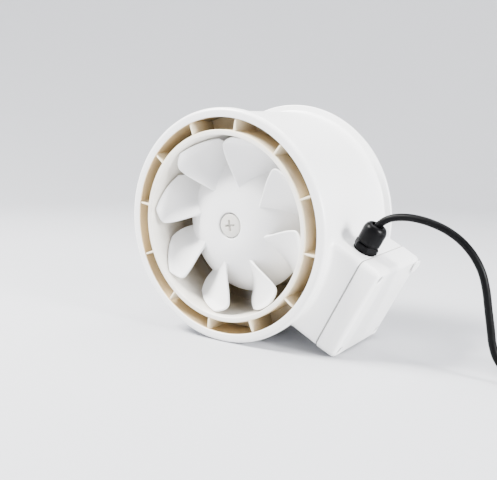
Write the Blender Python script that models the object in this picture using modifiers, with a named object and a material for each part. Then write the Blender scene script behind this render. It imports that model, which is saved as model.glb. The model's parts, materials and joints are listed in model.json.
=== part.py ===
"""Inline duct fan: a round plastic casing with an intake sleeve, a mixed-flow impeller, guide vanes around
a capacitor-run motor, a terminal box with a cable gland, and a supply cord put away in a coil.

The fan is drawn along its own axis: +Y is the way the air goes, depth 0 is the intake face, +X points from
the axis to the lid of the terminal box, and +Z to the side of the box that carries the gland. Polar angles
run from +X towards +Z. The empty "fan_stance" then lays the fan on the floor, on its intake rim, its rear
flange and one edge of the lid. All sizes are in metres.
"""

import math

import bmesh
import bpy
import numpy as np
from mathutils import Matrix, Vector

GAP = 0.0003  # clearance between pieces that rest on each other

# Casing
CASING_RADIUS = 0.1
CASING_LENGTH = 0.1212
BODY_STEP = 0.0028  # the lip stands out this far beyond the body behind it
LIP_DEPTH = 0.0068  # depth of the lip's outer surface
LIP_SLOPE = 0.0036  # depth of the slope from the lip down to the body
CASING_DRAFT = 0.0012  # how much smaller the body's radius is at the rear
CASING_WALL = 0.0025
LIP_WIDTH = 0.0078
LIP_THICKNESS = 0.0025
LIP_ROUND = 0.0035
FLANGE_STEP = 0.0065  # flange beyond the rear of the casing wall
FLANGE_THICKNESS = 0.0035
EDGE = 0.0006  # small broken edges

# Intake sleeve and the duct behind it
DUCT_RADIUS = 0.0776
DUCT_WALL = 0.0044
SLEEVE_SETBACK = 0.0002
SLEEVE_END = 0.0577
COLLAR_OVERLAP = 0.0077
COLLAR_WALL = 0.002
RIB_COUNT = 12
RIB_FIRST = math.radians(18.5)
RIB_THICKNESS = 0.0016
RIB_ROUND = 0.006
RIB_END = 0.033
WEB_DEPTH = 0.032  # ring from the sleeve to the casing's wall, at the ribs' rear ends
WEB_THICKNESS = 0.002
PLATE_THICKNESS = 0.0027
PLATE_RECESS = 0.0037  # rear plate behind the flange face
HOUSING_SCREW_COUNT = 4
HOUSING_SCREW_FIRST = math.radians(45.0)
BOSS_RADIUS = 0.0046
BOSS_LENGTH = 0.018

# Motor cup and guide vanes
CUP_RADIUS = 0.062
CUP_WALL = 0.0025
CUP_FRONT = 0.043
CUP_REAR = 0.096
VANE_COUNT = 9
VANE_FIRST = math.radians(20.0)
VANE_THICKNESS = 0.002
VANE_FRONT = 0.0605
VANE_REAR = 0.086
VANE_SWEEP = math.radians(15.0)
LEAD_DEPTH = 0.091
LEAD_RADIUS = 0.0025
CONDUIT_RADIUS = 0.0046

# Impeller
BLADE_COUNT = 8
BLADE_THICKNESS = 0.002
TIP_CLEARANCE = 0.0016
IMPELLER_REST = math.radians(27.7)  # how far the impeller stands turned from the box
HUB_REAR = 0.0408
HUB_WALL = 0.0025
NOSE_DEPTH = 0.013
NOSE_RADIUS = 0.014
RECESS_RADIUS = 0.0114
RECESS_FLOOR = 0.0184
INSERT_RADIUS = 0.007
CAP_SCREW_RADIUS = 0.0102
THREAD_RADIUS = 0.0025

# Motor
SHAFT_RADIUS = 0.004
BEARING_RADIUS = 0.011
BEARING_WIDTH = 0.007
CORE_CLEARANCE = 0.011  # from the motor cup's outside to the stator core
CORE_BORE = 0.03
CORE_FRONT = 0.0558
CORE_LENGTH = 0.02
AIR_GAP = 0.001
WINDING_LENGTH = 0.0055
BRACKET_THICKNESS = 0.003
BOLT_COUNT = 3
BOLT_FIRST = math.radians(60.0)
BOLT_RADIUS = 0.002
COVER_RISE = 0.0115

# Terminal box
BOX_FRONT = 0.0156
BOX_LENGTH = 0.083
BOX_WIDTH = 0.085
BOX_HEIGHT = 0.017  # parting plane above the casing
BOX_WALL = 0.0025
BOX_CORNER = 0.005
BOX_ROOT = 0.025  # how far the walls reach in before the casing stops them
LID_DEPTH = 0.0185
LID_OVERHANG = 0.0005
LID_EDGE = 0.004
GASKET = 0.0008
GASKET_INSET = 0.0007
POST_INSET = 0.0068
POST_RADIUS = 0.0042
SCREW_RADIUS = 0.0013
LID_SCREW_DEPTH = 0.0092  # head top below the lid face

# Cable gland
GLAND_DEPTH = 0.038
GLAND_DROP = 0.0095  # gland axis below the parting plane
GLAND_THREAD = 0.0068
GLAND_FLAT = 0.0093  # half the width across flats
GLAND_BODY_HEIGHT = 0.0055
GLAND_NUT_HEIGHT = 0.0168
GLAND_NUT_RADIUS = 0.0098
GLAND_MOUTH = 0.0065  # the cord starts this far down the nut's mouth
WASHER_THICKNESS = 0.001
TERMINAL_SIDE = 0.004  # side of the terminal block that faces the gland

# Supply cord, coil and plug
CORD_RADIUS = 0.003
COIL_TURN_RADIUS = 0.0345  # middle of the turns
COIL_WIDTH = 0.018
COIL_HEIGHT = 0.0122
COIL_CENTRE = (0.2605, 0.018)
TIE_WIDTH = 0.006
TIE_THICKNESS = 0.0008
TIE_CLEARANCE = 0.0005
CORD_REST = (0.1084, -0.0228, 0.1090)  # the gland's top, as CORD_ROUTE was laid out
CORD_LIP = 0.0012  # from the gland's top to where the cord starts to bend
CORD_ROUTE = [
    (0.1115, -0.0229, 0.1114),
    (0.1157, -0.0229, 0.1140),
    (0.1214, -0.0229, 0.1160),
    (0.1318, -0.0229, 0.1171),
    (0.1422, -0.0229, 0.1163),
    (0.1527, -0.0229, 0.1140),
    (0.1639, -0.0228, 0.1098),
    (0.1747, -0.0228, 0.1032),
    (0.1843, -0.0227, 0.0936),
    (0.1914, -0.0227, 0.0819),
    (0.1954, -0.0226, 0.0688),
    (0.1980, -0.0226, 0.0540),
    (0.2006, -0.0225, 0.0393),
    (0.2023, -0.0225, 0.0294),
    (0.2061, -0.0225, 0.0190),
    (0.2132, -0.0225, 0.0106),
    (0.2229, -0.0225, 0.0050),
    (0.2330, -0.0225, 0.0031),
    (0.2380, -0.0225, 0.0031),
]
TAIL_ROUTE = [
    (0.3010, 0.0406, 0.0081),
    (0.3006, 0.0480, 0.0069),
    (0.2984, 0.0600, 0.0051),
    (0.2925, 0.0712, 0.0041),
    (0.2838, 0.0786, 0.0047),
    (0.2755, 0.0820, 0.0060),
    (0.2665, 0.0830, 0.0068),
]
PLUG_CENTRE = (0.2377, 0.083)
PLUG_TURN = math.pi
PLUG_SIZE = (0.036, 0.035, 0.0136)
PLUG_RELIEF = 0.01
PIN_RADIUS = 0.002
PIN_LENGTH = 0.019
PIN_SPACING = 0.0186

ROUND = 40  # sides of the large turned pieces
INNER_ROUND = 32  # of the hub, the cup and its cover
MOTOR_ROUND = 24
SMALL_ROUND = 16

# Values that follow from the sizes above
CASING_REAR_RADIUS = CASING_RADIUS - BODY_STEP - CASING_DRAFT
FLANGE_RADIUS = CASING_REAR_RADIUS + FLANGE_STEP
FLANGE_FRONT = CASING_LENGTH - FLANGE_THICKNESS
LIP_INNER = CASING_RADIUS - LIP_WIDTH
DUCT_OUTER = DUCT_RADIUS + DUCT_WALL
PLATE_REAR = CASING_LENGTH - PLATE_RECESS
PLATE_FRONT = PLATE_REAR - PLATE_THICKNESS
BOSS_CIRCLE = CASING_REAR_RADIUS - CASING_WALL - BOSS_RADIUS + 0.0006
BOLT_CIRCLE = CUP_RADIUS - CUP_WALL - 0.0052
CORE_RADIUS = CUP_RADIUS - CORE_CLEARANCE
BLADE_TIP = DUCT_RADIUS - TIP_CLEARANCE
PARTING = CASING_RADIUS + BOX_HEIGHT
LID_FACE = PARTING + LID_DEPTH
BASE_RIM = PARTING - GASKET / 2 - GAP
LID_RIM = PARTING + GASKET / 2 + GAP
GLAND_AXIS = PARTING - GLAND_DROP
BOX_MIDDLE = BOX_FRONT + BOX_LENGTH / 2
CORE_REAR = CORE_FRONT + CORE_LENGTH
WINDING_INNER = CORE_BORE + 0.003
WINDING_OUTER = CORE_RADIUS - 0.004
FRONT_BRACKET = CUP_FRONT + CUP_WALL + 0.0007
REAR_BRACKET = CORE_REAR + WINDING_LENGTH + 0.0012
WASHER_FACE = BOX_WIDTH / 2 + GAP
GLAND_BODY = WASHER_FACE + WASHER_THICKNESS + GAP
GLAND_NUT = GLAND_BODY + GLAND_BODY_HEIGHT + GAP
GLAND_TOP = GLAND_NUT + GLAND_NUT_HEIGHT

FAN_AXIS = (-math.pi / 2, 0.0, 0.0)  # turns local Z to the fan's axis
LID_AXIS = (0.0, math.pi / 2, 0.0)  # turns local Z to the lid's normal


# ---------------------------------------------------------------- scene and materials


def clear_scene():
    for old in list(bpy.data.objects):
        bpy.data.objects.remove(old, do_unlink=True)


def add_collection(name, hidden=False):
    made = bpy.data.collections.new(name)
    made.hide_render = hidden
    bpy.context.scene.collection.children.link(made)
    return made


def finish(name, colour, roughness, metallic=0.0):
    made = bpy.data.materials.new(name)
    made.use_nodes = True
    shader = made.node_tree.nodes["Principled BSDF"]
    shader.inputs["Base Color"].default_value = (*colour, 1.0)
    shader.inputs["Roughness"].default_value = roughness
    shader.inputs["Metallic"].default_value = metallic
    return made


FINISHES = {
    "white_plastic": ((0.86, 0.86, 0.87), 0.32, 0.0),
    "cream_plastic": ((0.83, 0.81, 0.75), 0.38, 0.0),
    "black_nylon": ((0.012, 0.012, 0.013), 0.4, 0.0),
    "black_rubber": ((0.014, 0.014, 0.015), 0.6, 0.0),
    "grey_rubber": ((0.45, 0.45, 0.44), 0.7, 0.0),
    "steel": ((0.6, 0.6, 0.6), 0.3, 1.0),
    "electrical_steel": ((0.32, 0.33, 0.35), 0.45, 1.0),
    "aluminium": ((0.72, 0.73, 0.74), 0.4, 1.0),
    "copper_winding": ((0.55, 0.2, 0.06), 0.35, 0.6),
    "brass": ((0.68, 0.5, 0.2), 0.3, 1.0),
    "terminal_plastic": ((0.55, 0.56, 0.55), 0.5, 0.0),
    "cord_sheath": ((0.012, 0.012, 0.014), 0.45, 0.0),
}


# ---------------------------------------------------------------- shape helpers


def add_object(name, mesh, kind, parent="stance"):
    """A solid gets its own copy of a finish; a cutter or a piece to be joined stays hidden."""
    made = bpy.data.objects.new(name, mesh)
    made.parent = HOLDERS[parent]
    if kind == "cutter":
        CUTTERS.objects.link(made)
        made.hide_render = True
        made.display_type = "WIRE"
        return made
    PARTS.objects.link(made)
    mesh.materials.append(finish(f"{name}_finish", *FINISHES[kind]))
    return made


def mesh_from(bm, name):
    mesh = bpy.data.meshes.new(name)
    bm.to_mesh(mesh)
    bm.free()
    mesh.shade_smooth()
    mesh.set_sharp_from_angle(angle=math.radians(35.0))
    return mesh


def down_the_outside(profile):
    """The profile in the order that makes a turned skin face outwards."""
    area = sum(a[0] * b[1] - b[0] * a[1] for a, b in zip(profile, profile[1:] + profile[:1]))
    return profile if area < 0 else profile[::-1]


def turned(name, profile, kind, steps=ROUND, parent="stance", turn=FAN_AXIS, at=(0.0, 0.0, 0.0)):
    """A profile of (radius, height) points turned about local Z; it is closed unless it ends on the axis."""
    points = down_the_outside(profile)
    closed = min(radius for radius, _ in points) > 0
    while not closed and max(points[0][0], points[-1][0]) > 0:
        points = points[1:] + points[:1]
    ends = [(i, i + 1) for i in range(len(points) - 1)] + ([(len(points) - 1, 0)] if closed else [])
    mesh = bpy.data.meshes.new(name)
    mesh.from_pydata([(radius, 0.0, height) for radius, height in points], ends, [])
    made = add_object(name, mesh, kind, parent)
    made.rotation_euler = turn
    made.location = at
    screw = made.modifiers.new("Turn", "SCREW")
    screw.axis = "Z"
    screw.angle = 2 * math.pi
    screw.steps = steps
    screw.render_steps = steps
    screw.use_merge_vertices = True
    screw.merge_threshold = 0.00001
    screw.use_smooth_shade = steps > 6
    return made


def block(name, low, high, kind, corner=0.0, face_edge=0.0, parent="stance"):
    """A box between two corners, its edges along X rounded by corner and its +X face's edges by face_edge."""
    bm = bmesh.new()
    size = Vector(high) - Vector(low)
    middle = (Vector(high) + Vector(low)) / 2
    bmesh.ops.create_cube(bm, size=1.0, matrix=Matrix.Translation(middle) @ Matrix.Diagonal((*size, 1.0)))
    if corner:
        along = [e for e in bm.edges if abs(e.verts[0].co.x - e.verts[1].co.x) > size.x / 2]
        bmesh.ops.bevel(bm, geom=along, offset=corner, segments=3, profile=0.5, affect="EDGES")
    if face_edge:
        rim = [e for e in bm.edges if min(v.co.x for v in e.verts) > high[0] - size.x / 100]
        bmesh.ops.bevel(bm, geom=rim, offset=face_edge, segments=2, profile=0.5, affect="EDGES")
    return add_object(name, mesh_from(bm, name), kind, parent)


def rods(name, ends, radius, kind="cutter", sides=SMALL_ROUND, parent="stance"):
    """One mesh of round bars, one for each pair of end points."""
    bm = bmesh.new()
    for start, end in ends:
        along = Vector(end) - Vector(start)
        turn = Vector((0, 0, 1)).rotation_difference(along).to_matrix().to_4x4()
        place = Matrix.Translation((Vector(start) + Vector(end)) / 2) @ turn
        bmesh.ops.create_cone(bm, cap_ends=True, segments=sides, radius1=radius, radius2=radius,
                              depth=along.length, matrix=place)
    return add_object(name, mesh_from(bm, name), kind, parent)


def sheets(name, count, rows, columns, point, thickness, parent="stance"):
    """Open grids given a wall: corner (u, v) of sheet number k is at point(k, u, v), u and v from 0 to 1."""
    bm = bmesh.new()
    for k in range(count):
        made = bmesh.ops.create_grid(bm, x_segments=rows, y_segments=columns, size=1.0)
        for vert in made["verts"]:
            vert.co = point(k, (vert.co.x + 1) / 2, (vert.co.y + 1) / 2)
    made = add_object(name, mesh_from(bm, name), "cutter", parent)
    wall = made.modifiers.new("Wall", "SOLIDIFY")
    wall.thickness = thickness
    wall.offset = 0.0
    return made


def combine(target, tool, operation):
    step = target.modifiers.new(tool.name, "BOOLEAN")
    step.operation = operation
    step.solver = "EXACT"
    step.object = tool


def join(target, *tools):
    for tool in tools:
        combine(target, tool, "UNION")


def cut(target, *tools):
    for tool in tools:
        combine(target, tool, "DIFFERENCE")


def around(radius, angle, depth):
    """A place at a radius and a polar angle about the fan's axis."""
    return Vector((radius * math.cos(angle), depth, radius * math.sin(angle)))


def spaced(count, first):
    return [first + 2 * math.pi * k / count for k in range(count)]


def arc(centre, radius, first, last, pieces):
    """Points on an arc of a profile, angles in degrees from the radius direction towards greater height."""
    angles = [math.radians(first + (last - first) * i / pieces) for i in range(pieces + 1)]
    return [(centre[0] + radius * math.cos(a), centre[1] + radius * math.sin(a)) for a in angles]


def smooth_route(points, spacing):
    """Points about every spacing along a centripetal Catmull-Rom curve through the given points."""
    given = [np.array(p, float) for p in points]
    full = [2 * given[0] - given[1]] + given + [2 * given[-1] - given[-2]]
    dense = []
    for a, b, c, d in zip(full, full[1:], full[2:], full[3:]):
        t1 = math.sqrt(np.linalg.norm(b - a))
        t2 = t1 + math.sqrt(np.linalg.norm(c - b))
        t3 = t2 + math.sqrt(np.linalg.norm(d - c))
        for t in np.linspace(t1, t2, 24, endpoint=False):
            ab = a + (b - a) * t / t1
            bc = b + (c - b) * (t - t1) / (t2 - t1)
            cd = c + (d - c) * (t - t2) / (t3 - t2)
            abc = ab + (bc - ab) * t / t2
            bcd = bc + (cd - bc) * (t - t1) / (t3 - t1)
            dense.append(abc + (bcd - abc) * (t - t1) / (t2 - t1))
    dense = np.array(dense + [given[-1]])
    run = np.concatenate([[0.0], np.cumsum(np.linalg.norm(np.diff(dense, axis=0), axis=1))])
    stops = np.linspace(0.0, run[-1], max(2, round(run[-1] / spacing)) + 1)
    return np.stack([np.interp(stops, run, dense[:, axis]) for axis in range(3)], axis=1)


def tube(name, points, radius, kind, parent="stance", resolution=2):
    curve = bpy.data.curves.new(name, "CURVE")
    curve.dimensions = "3D"
    curve.bevel_depth = radius
    curve.bevel_resolution = resolution
    curve.use_fill_caps = True
    line = curve.splines.new("POLY")
    line.points.add(len(points) - 1)
    for spot, place in zip(line.points, points):
        spot.co = (*place, 1.0)
    return add_object(name, curve, kind, parent)


def screw(name, at, turn, head_radius, head_height, shank_radius, length, kind="steel"):
    """A pan-head screw: the top of its head is at its origin, and it points down local Z."""
    profile = [
        (0.0, 0.0),
        (head_radius * 0.7, 0.0),
        (head_radius, -head_height * 0.45),
        (head_radius, -head_height),
        (shank_radius, -head_height),
        (shank_radius, -length),
        (0.0, -length),
    ]
    return turned(name, profile, kind, steps=8, turn=turn, at=at)


# ---------------------------------------------------------------- casing


def casing_inside(depth):
    """Inner radius of the casing wall at a depth."""
    share = (depth - LIP_ROUND) / (FLANGE_FRONT - LIP_ROUND)
    return CASING_RADIUS - BODY_STEP - CASING_WALL - CASING_DRAFT * share


def casing_profile():
    lip = arc((CASING_RADIUS - LIP_ROUND, LIP_ROUND), LIP_ROUND, 270.0, 360.0, 3)
    body = LIP_DEPTH + LIP_SLOPE
    return [(LIP_INNER + EDGE, 0.0)] + lip + [
        (CASING_RADIUS, LIP_DEPTH),
        (casing_inside(body) + CASING_WALL, body),
        (CASING_REAR_RADIUS, FLANGE_FRONT),
        (FLANGE_RADIUS - EDGE, FLANGE_FRONT),
        (FLANGE_RADIUS, FLANGE_FRONT + EDGE),
        (FLANGE_RADIUS, CASING_LENGTH - EDGE),
        (FLANGE_RADIUS - EDGE, CASING_LENGTH),
        (casing_inside(CASING_LENGTH), CASING_LENGTH),
        (casing_inside(LIP_THICKNESS), LIP_THICKNESS),
        (LIP_INNER, LIP_THICKNESS),
        (LIP_INNER, EDGE),
    ]


def post_places():
    """(depth, height) of the four lid screws."""
    across = BOX_WIDTH / 2 - POST_INSET
    along = BOX_LENGTH / 2 - POST_INSET
    return [(BOX_MIDDLE + a * along, b * across) for a in (-1, 1) for b in (-1, 1)]


def box_block(name, near, far, grow, kind="cutter", face_edge=0.0):
    """A block on the box's outline, grown or shrunk all round, from x = near to x = far."""
    half_length = BOX_LENGTH / 2 + grow
    half_width = BOX_WIDTH / 2 + grow
    low = (near, BOX_MIDDLE - half_length, -half_width)
    high = (far, BOX_MIDDLE + half_length, half_width)
    return block(name, low, high, kind, corner=BOX_CORNER + grow, face_edge=face_edge)


def post_rods(name, near, far, radius, sides=SMALL_ROUND):
    return rods(name, [((near, y, z), (far, y, z)) for y, z in post_places()], radius, sides=sides)


def box_base():
    """Walls and screw posts of the terminal box, hollow, and stopped inside the casing's wall."""
    root = CASING_RADIUS - BOX_ROOT
    base = box_block("box_base", root, BASE_RIM, 0.0)
    hollow = box_block("box_base_hollow", root - 0.01, BASE_RIM + 0.01, -BOX_WALL)
    middle = [(casing_inside(y) + CASING_WALL / 2, y) for y in (-0.02, CASING_LENGTH + 0.02)]
    core = turned("box_base_stop", [(0.0, -0.02)] + middle + [(0.0, CASING_LENGTH + 0.02)], "cutter")
    posts = post_rods("box_posts", root, BASE_RIM - GAP, POST_RADIUS)
    cut(base, hollow)
    join(base, posts)
    cut(base, core)
    return base


def casing_bosses():
    ends = [
        (around(BOSS_CIRCLE, a, PLATE_FRONT - BOSS_LENGTH), around(BOSS_CIRCLE, a, PLATE_FRONT - GAP))
        for a in spaced(HOUSING_SCREW_COUNT, HOUSING_SCREW_FIRST)
    ]
    return rods("casing_bosses", ends, BOSS_RADIUS)


def housing_screw_holes(name, near, far, radius):
    ends = [
        (around(BOSS_CIRCLE, a, near), around(BOSS_CIRCLE, a, far))
        for a in spaced(HOUSING_SCREW_COUNT, HOUSING_SCREW_FIRST)
    ]
    return rods(name, ends, radius, sides=12)


def make_casing():
    casing = turned("outer_casing", casing_profile(), "white_plastic")
    pilot = SCREW_RADIUS + GAP
    lead_hole = rods("casing_lead_hole", [((CASING_RADIUS - 0.015, LEAD_DEPTH, 0.0),
                                           (CASING_RADIUS + 0.005, LEAD_DEPTH, 0.0))], LEAD_RADIUS + 0.0015)
    gland_hole = rods("casing_gland_hole", [((GLAND_AXIS, GLAND_DEPTH, BOX_WIDTH / 2 - 2 * BOX_WALL),
                                             (GLAND_AXIS, GLAND_DEPTH, BOX_WIDTH / 2 + BOX_WALL))],
                      GLAND_THREAD + GAP)
    join(casing, box_base(), casing_bosses())
    cut(casing, lead_hole, gland_hole)
    cut(casing, post_rods("post_pilots", PARTING - 0.017, PARTING + 0.003, pilot, sides=12))
    boss_end = PLATE_FRONT + 0.005
    cut(casing, housing_screw_holes("boss_pilots", PLATE_FRONT - BOSS_LENGTH + 0.002, boss_end, pilot))


# ---------------------------------------------------------------- intake sleeve and guide vane housing


def make_sleeve():
    front = SLEEVE_SETBACK
    profile = [
        (DUCT_RADIUS + EDGE, front),
        (DUCT_OUTER - EDGE, front),
        (DUCT_OUTER, front + EDGE),
        (DUCT_OUTER, SLEEVE_END),
        (DUCT_RADIUS, SLEEVE_END),
        (DUCT_RADIUS, front + EDGE),
    ]
    sleeve = turned("inlet_sleeve", profile, "cream_plastic")
    web = casing_inside(WEB_DEPTH) - 3 * GAP
    ring_profile = [
        (DUCT_OUTER - 0.001, WEB_DEPTH),
        (web, WEB_DEPTH),
        (web, WEB_DEPTH + WEB_THICKNESS),
        (DUCT_OUTER - 0.001, WEB_DEPTH + WEB_THICKNESS),
    ]
    join(sleeve, rib_set(), turned("sleeve_web", ring_profile, "cutter"))


def rib_set():
    """Flat ribs from the sleeve to the casing wall, their front corner rounded to clear the lip."""
    front = SLEEVE_SETBACK + GAP
    corner = (LIP_INNER - RIB_ROUND + 0.001, front + RIB_ROUND)
    outline = [(DUCT_OUTER - 0.002, front)] + arc(corner, RIB_ROUND, 270.0, 360.0, 4)
    shoulder = front + RIB_ROUND + 0.003
    outline += [
        (casing_inside(shoulder) - 2 * GAP, shoulder),
        (casing_inside(RIB_END) - 2 * GAP, RIB_END),
        (DUCT_OUTER - 0.002, RIB_END),
    ]
    bm = bmesh.new()
    for angle in spaced(RIB_COUNT, RIB_FIRST):
        bm.faces.new([bm.verts.new(around(radius, angle, depth)) for radius, depth in outline])
    ribs = add_object("sleeve_ribs", mesh_from(bm, "sleeve_ribs"), "cutter")
    wall = ribs.modifiers.new("Wall", "SOLIDIFY")
    wall.thickness = RIB_THICKNESS
    wall.offset = 0.0
    return ribs


def vane_point(k, u, v):
    """Guide vane: u runs back along the axis, v out from the cup. The swirl dies away to the rear."""
    angle = VANE_FIRST + 2 * math.pi * k / VANE_COUNT + VANE_SWEEP * (1 - (1 - u) ** 2)
    inner = CUP_RADIUS - CUP_WALL / 2
    radius = inner + (DUCT_RADIUS + DUCT_WALL / 2 - inner) * v
    return around(radius, angle, VANE_FRONT + (VANE_REAR - VANE_FRONT) * u)


def motor_cup():
    inside = CUP_RADIUS - CUP_WALL
    bore = BEARING_RADIUS - 0.002
    profile = [
        (bore, CUP_FRONT),
        (CUP_RADIUS - 0.002, CUP_FRONT),
        (CUP_RADIUS, CUP_FRONT + 0.002),
        (CUP_RADIUS, CUP_REAR),
        (inside, CUP_REAR),
        (inside, CUP_FRONT + CUP_WALL),
        (bore, CUP_FRONT + CUP_WALL),
    ]
    return turned("motor_cup", profile, "cutter", steps=INNER_ROUND)


def make_housing():
    joint = SLEEVE_END + GAP
    collar = DUCT_OUTER + GAP
    profile = [
        (DUCT_RADIUS, joint),
        (collar, joint),
        (collar, SLEEVE_END - COLLAR_OVERLAP),
        (collar + COLLAR_WALL, SLEEVE_END - COLLAR_OVERLAP),
        (collar + COLLAR_WALL, joint + 0.004),
        (DUCT_OUTER, joint + 0.006),
        (DUCT_OUTER, PLATE_FRONT),
        (casing_inside(PLATE_REAR) - GAP, PLATE_FRONT),
        (casing_inside(PLATE_REAR) - GAP, PLATE_REAR),
        (DUCT_RADIUS, PLATE_REAR),
    ]
    housing = turned("guide_vane_housing", profile, "cream_plastic")
    vanes = sheets("guide_vanes", VANE_COUNT, 4, 1, vane_point, VANE_THICKNESS)
    inner = CUP_RADIUS - CUP_WALL / 2
    conduit = rods("lead_conduit", [((inner, LEAD_DEPTH, 0.0), (DUCT_OUTER - 0.001, LEAD_DEPTH, 0.0))],
                   CONDUIT_RADIUS)
    lead_bore = rods("lead_bore", [((inner - 0.005, LEAD_DEPTH, 0.0), (DUCT_OUTER + 0.003, LEAD_DEPTH, 0.0))],
                     LEAD_RADIUS + 2 * GAP)
    bolt_holes = bolt_rods("cup_bolt_holes", CUP_FRONT - 0.005, CUP_FRONT + CUP_WALL + 0.002)
    join(housing, vanes, motor_cup(), conduit)
    cut(housing, lead_bore, bolt_holes)
    clearance = SCREW_RADIUS + 2 * GAP
    cut(housing, housing_screw_holes("plate_holes", PLATE_FRONT - 0.003, PLATE_REAR + 0.003, clearance))


def make_housing_screws():
    for number, angle in enumerate(spaced(HOUSING_SCREW_COUNT, HOUSING_SCREW_FIRST), 1):
        head = 0.002
        place = around(BOSS_CIRCLE, angle, PLATE_REAR + GAP + head)
        screw(f"housing_screw_{number}", place, FAN_AXIS, 0.0034, head, SCREW_RADIUS, 0.017)


# ---------------------------------------------------------------- motor


def bolt_rods(name, near, far):
    ends = [
        (around(BOLT_CIRCLE, a, near), around(BOLT_CIRCLE, a, far)) for a in spaced(BOLT_COUNT, BOLT_FIRST)
    ]
    return rods(name, ends, BOLT_RADIUS + GAP, sides=12)


def bracket(name, disc, seat_end, inward):
    """A motor end plate with a bearing seat; inward is the way along the axis that the seat reaches."""
    seat = BEARING_RADIUS + GAP
    back = disc
    face = disc + inward * BRACKET_THICKNESS
    shoulder = disc + inward * 0.001
    rim = CUP_RADIUS - CUP_WALL - GAP
    profile = [
        (seat - 0.0023, back),
        (rim, back),
        (rim, face),
        (seat + 0.0035, face),
        (seat + 0.0035, seat_end),
        (seat, seat_end),
        (seat, shoulder),
        (seat - 0.0023, shoulder),
    ]
    plate = turned(name, profile, "aluminium", steps=MOTOR_ROUND)
    near, far = sorted((back - inward * 0.002, face + inward * 0.002))
    cut(plate, bolt_rods(f"{name}_holes", near, far))


def bearing(name, front, parent_inner):
    """The two races of a shielded ball bearing; the inner one turns with the shaft."""
    rear = front + BEARING_WIDTH
    bore = SHAFT_RADIUS + GAP
    split = (BEARING_RADIUS + bore) / 2
    outer = [(split + GAP, front), (BEARING_RADIUS, front), (BEARING_RADIUS, rear), (split + GAP, rear)]
    inner = [(bore, front), (split - GAP, front), (split - GAP, rear), (bore, rear)]
    turned(f"{name}_outer_race", outer, "steel", steps=SMALL_ROUND)
    turned(f"{name}_inner_race", inner, "steel", steps=SMALL_ROUND, parent=parent_inner)


def ring(name, inner, outer, front, rear, kind, steps=SMALL_ROUND, parent="stance"):
    return turned(name, [(inner, front), (outer, front), (outer, rear), (inner, rear)], kind, steps, parent)


def make_motor():
    rear_face = REAR_BRACKET + BRACKET_THICKNESS
    front_bearing = FRONT_BRACKET + 0.0013
    rear_bearing = rear_face - 0.0013 - BEARING_WIDTH
    bracket("motor_front_bracket", FRONT_BRACKET, front_bearing + BEARING_WIDTH + 0.0006, 1)
    bracket("motor_rear_bracket", rear_face, rear_bearing - 0.0004, -1)
    bearing("front_bearing", front_bearing, "rotor")
    bearing("rear_bearing", rear_bearing, "rotor")
    ring("stator_core", CORE_BORE, CORE_RADIUS, CORE_FRONT, CORE_REAR, "electrical_steel", MOTOR_ROUND)
    fronts = {"winding_front": CORE_FRONT - GAP - WINDING_LENGTH, "winding_rear": CORE_REAR + GAP}
    for name, front in fronts.items():
        soft = 0.0018
        middle = front + WINDING_LENGTH / 2
        profile = [
            (WINDING_INNER + soft, front),
            (WINDING_OUTER - soft, front),
            (WINDING_OUTER, middle),
            (WINDING_OUTER - soft, front + WINDING_LENGTH),
            (WINDING_INNER + soft, front + WINDING_LENGTH),
            (WINDING_INNER, middle),
        ]
        turned(name, profile, "copper_winding", steps=MOTOR_ROUND)
    ring("rotor_core", SHAFT_RADIUS + GAP, CORE_BORE - AIR_GAP, CORE_FRONT, CORE_REAR, "electrical_steel",
         MOTOR_ROUND, "rotor")
    ring("shaft_circlip", SHAFT_RADIUS + GAP, SHAFT_RADIUS + 0.002, rear_bearing + BEARING_WIDTH + GAP,
         rear_bearing + BEARING_WIDTH + GAP + 0.0009, "steel", parent="rotor")
    shaft_front = RECESS_FLOOR + 0.0024
    shaft_rear = rear_face + 0.002
    shaft = [
        (0.0, RECESS_FLOOR - 0.0028),
        (THREAD_RADIUS, RECESS_FLOOR - 0.0028),
        (THREAD_RADIUS, shaft_front),
        (SHAFT_RADIUS, shaft_front),
        (SHAFT_RADIUS, shaft_rear),
        (0.0, shaft_rear),
    ]
    turned("motor_shaft", shaft, "steel", steps=SMALL_ROUND, parent="rotor")


def make_motor_cover():
    """A domed cap on the back of the motor cup, held by the long motor bolts."""
    rim = CUP_REAR + GAP
    wall = CUP_WALL
    land = BOLT_CIRCLE - 0.0062
    top = rim + wall + COVER_RISE
    dome = [(land * math.cos(a), rim + wall + COVER_RISE * math.sin(a)) for a in np.linspace(0.0, 1.2, 4)]
    inner = [((land - wall) * math.cos(a), rim + (COVER_RISE - 0.0003) * math.sin(a))
             for a in np.linspace(0.0, 1.2, 4)]
    profile = [(CUP_RADIUS, rim), (CUP_RADIUS, rim + wall - EDGE), (CUP_RADIUS - EDGE, rim + wall)]
    profile += [(float(r), float(y)) for r, y in dome] + [(0.0, top)]
    profile += [(0.0, top - wall)] + [(float(r), float(y)) for r, y in inner[::-1]]
    cover = turned("motor_cover", profile, "cream_plastic", steps=INNER_ROUND)
    cut(cover, bolt_rods("cover_bolt_holes", rim - 0.003, rim + wall + 0.003))


def make_motor_bolts():
    for number, angle in enumerate(spaced(BOLT_COUNT, BOLT_FIRST), 1):
        head = 0.0022
        top = CUP_REAR + CUP_WALL + 2 * GAP + head
        place = around(BOLT_CIRCLE, angle, top)
        screw(f"motor_bolt_{number}", place, FAN_AXIS, 0.0036, head, BOLT_RADIUS, top - CUP_FRONT - 0.0008)


# ---------------------------------------------------------------- impeller


def hub_depth(radius):
    """Depth of the hub's outer surface: flat at the nose, then ever steeper to the rear edge."""
    share = max(0.0, radius - NOSE_RADIUS) / (CUP_RADIUS - NOSE_RADIUS)
    return NOSE_DEPTH + (HUB_REAR - 0.0008 - NOSE_DEPTH) * share ** 2.3


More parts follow.
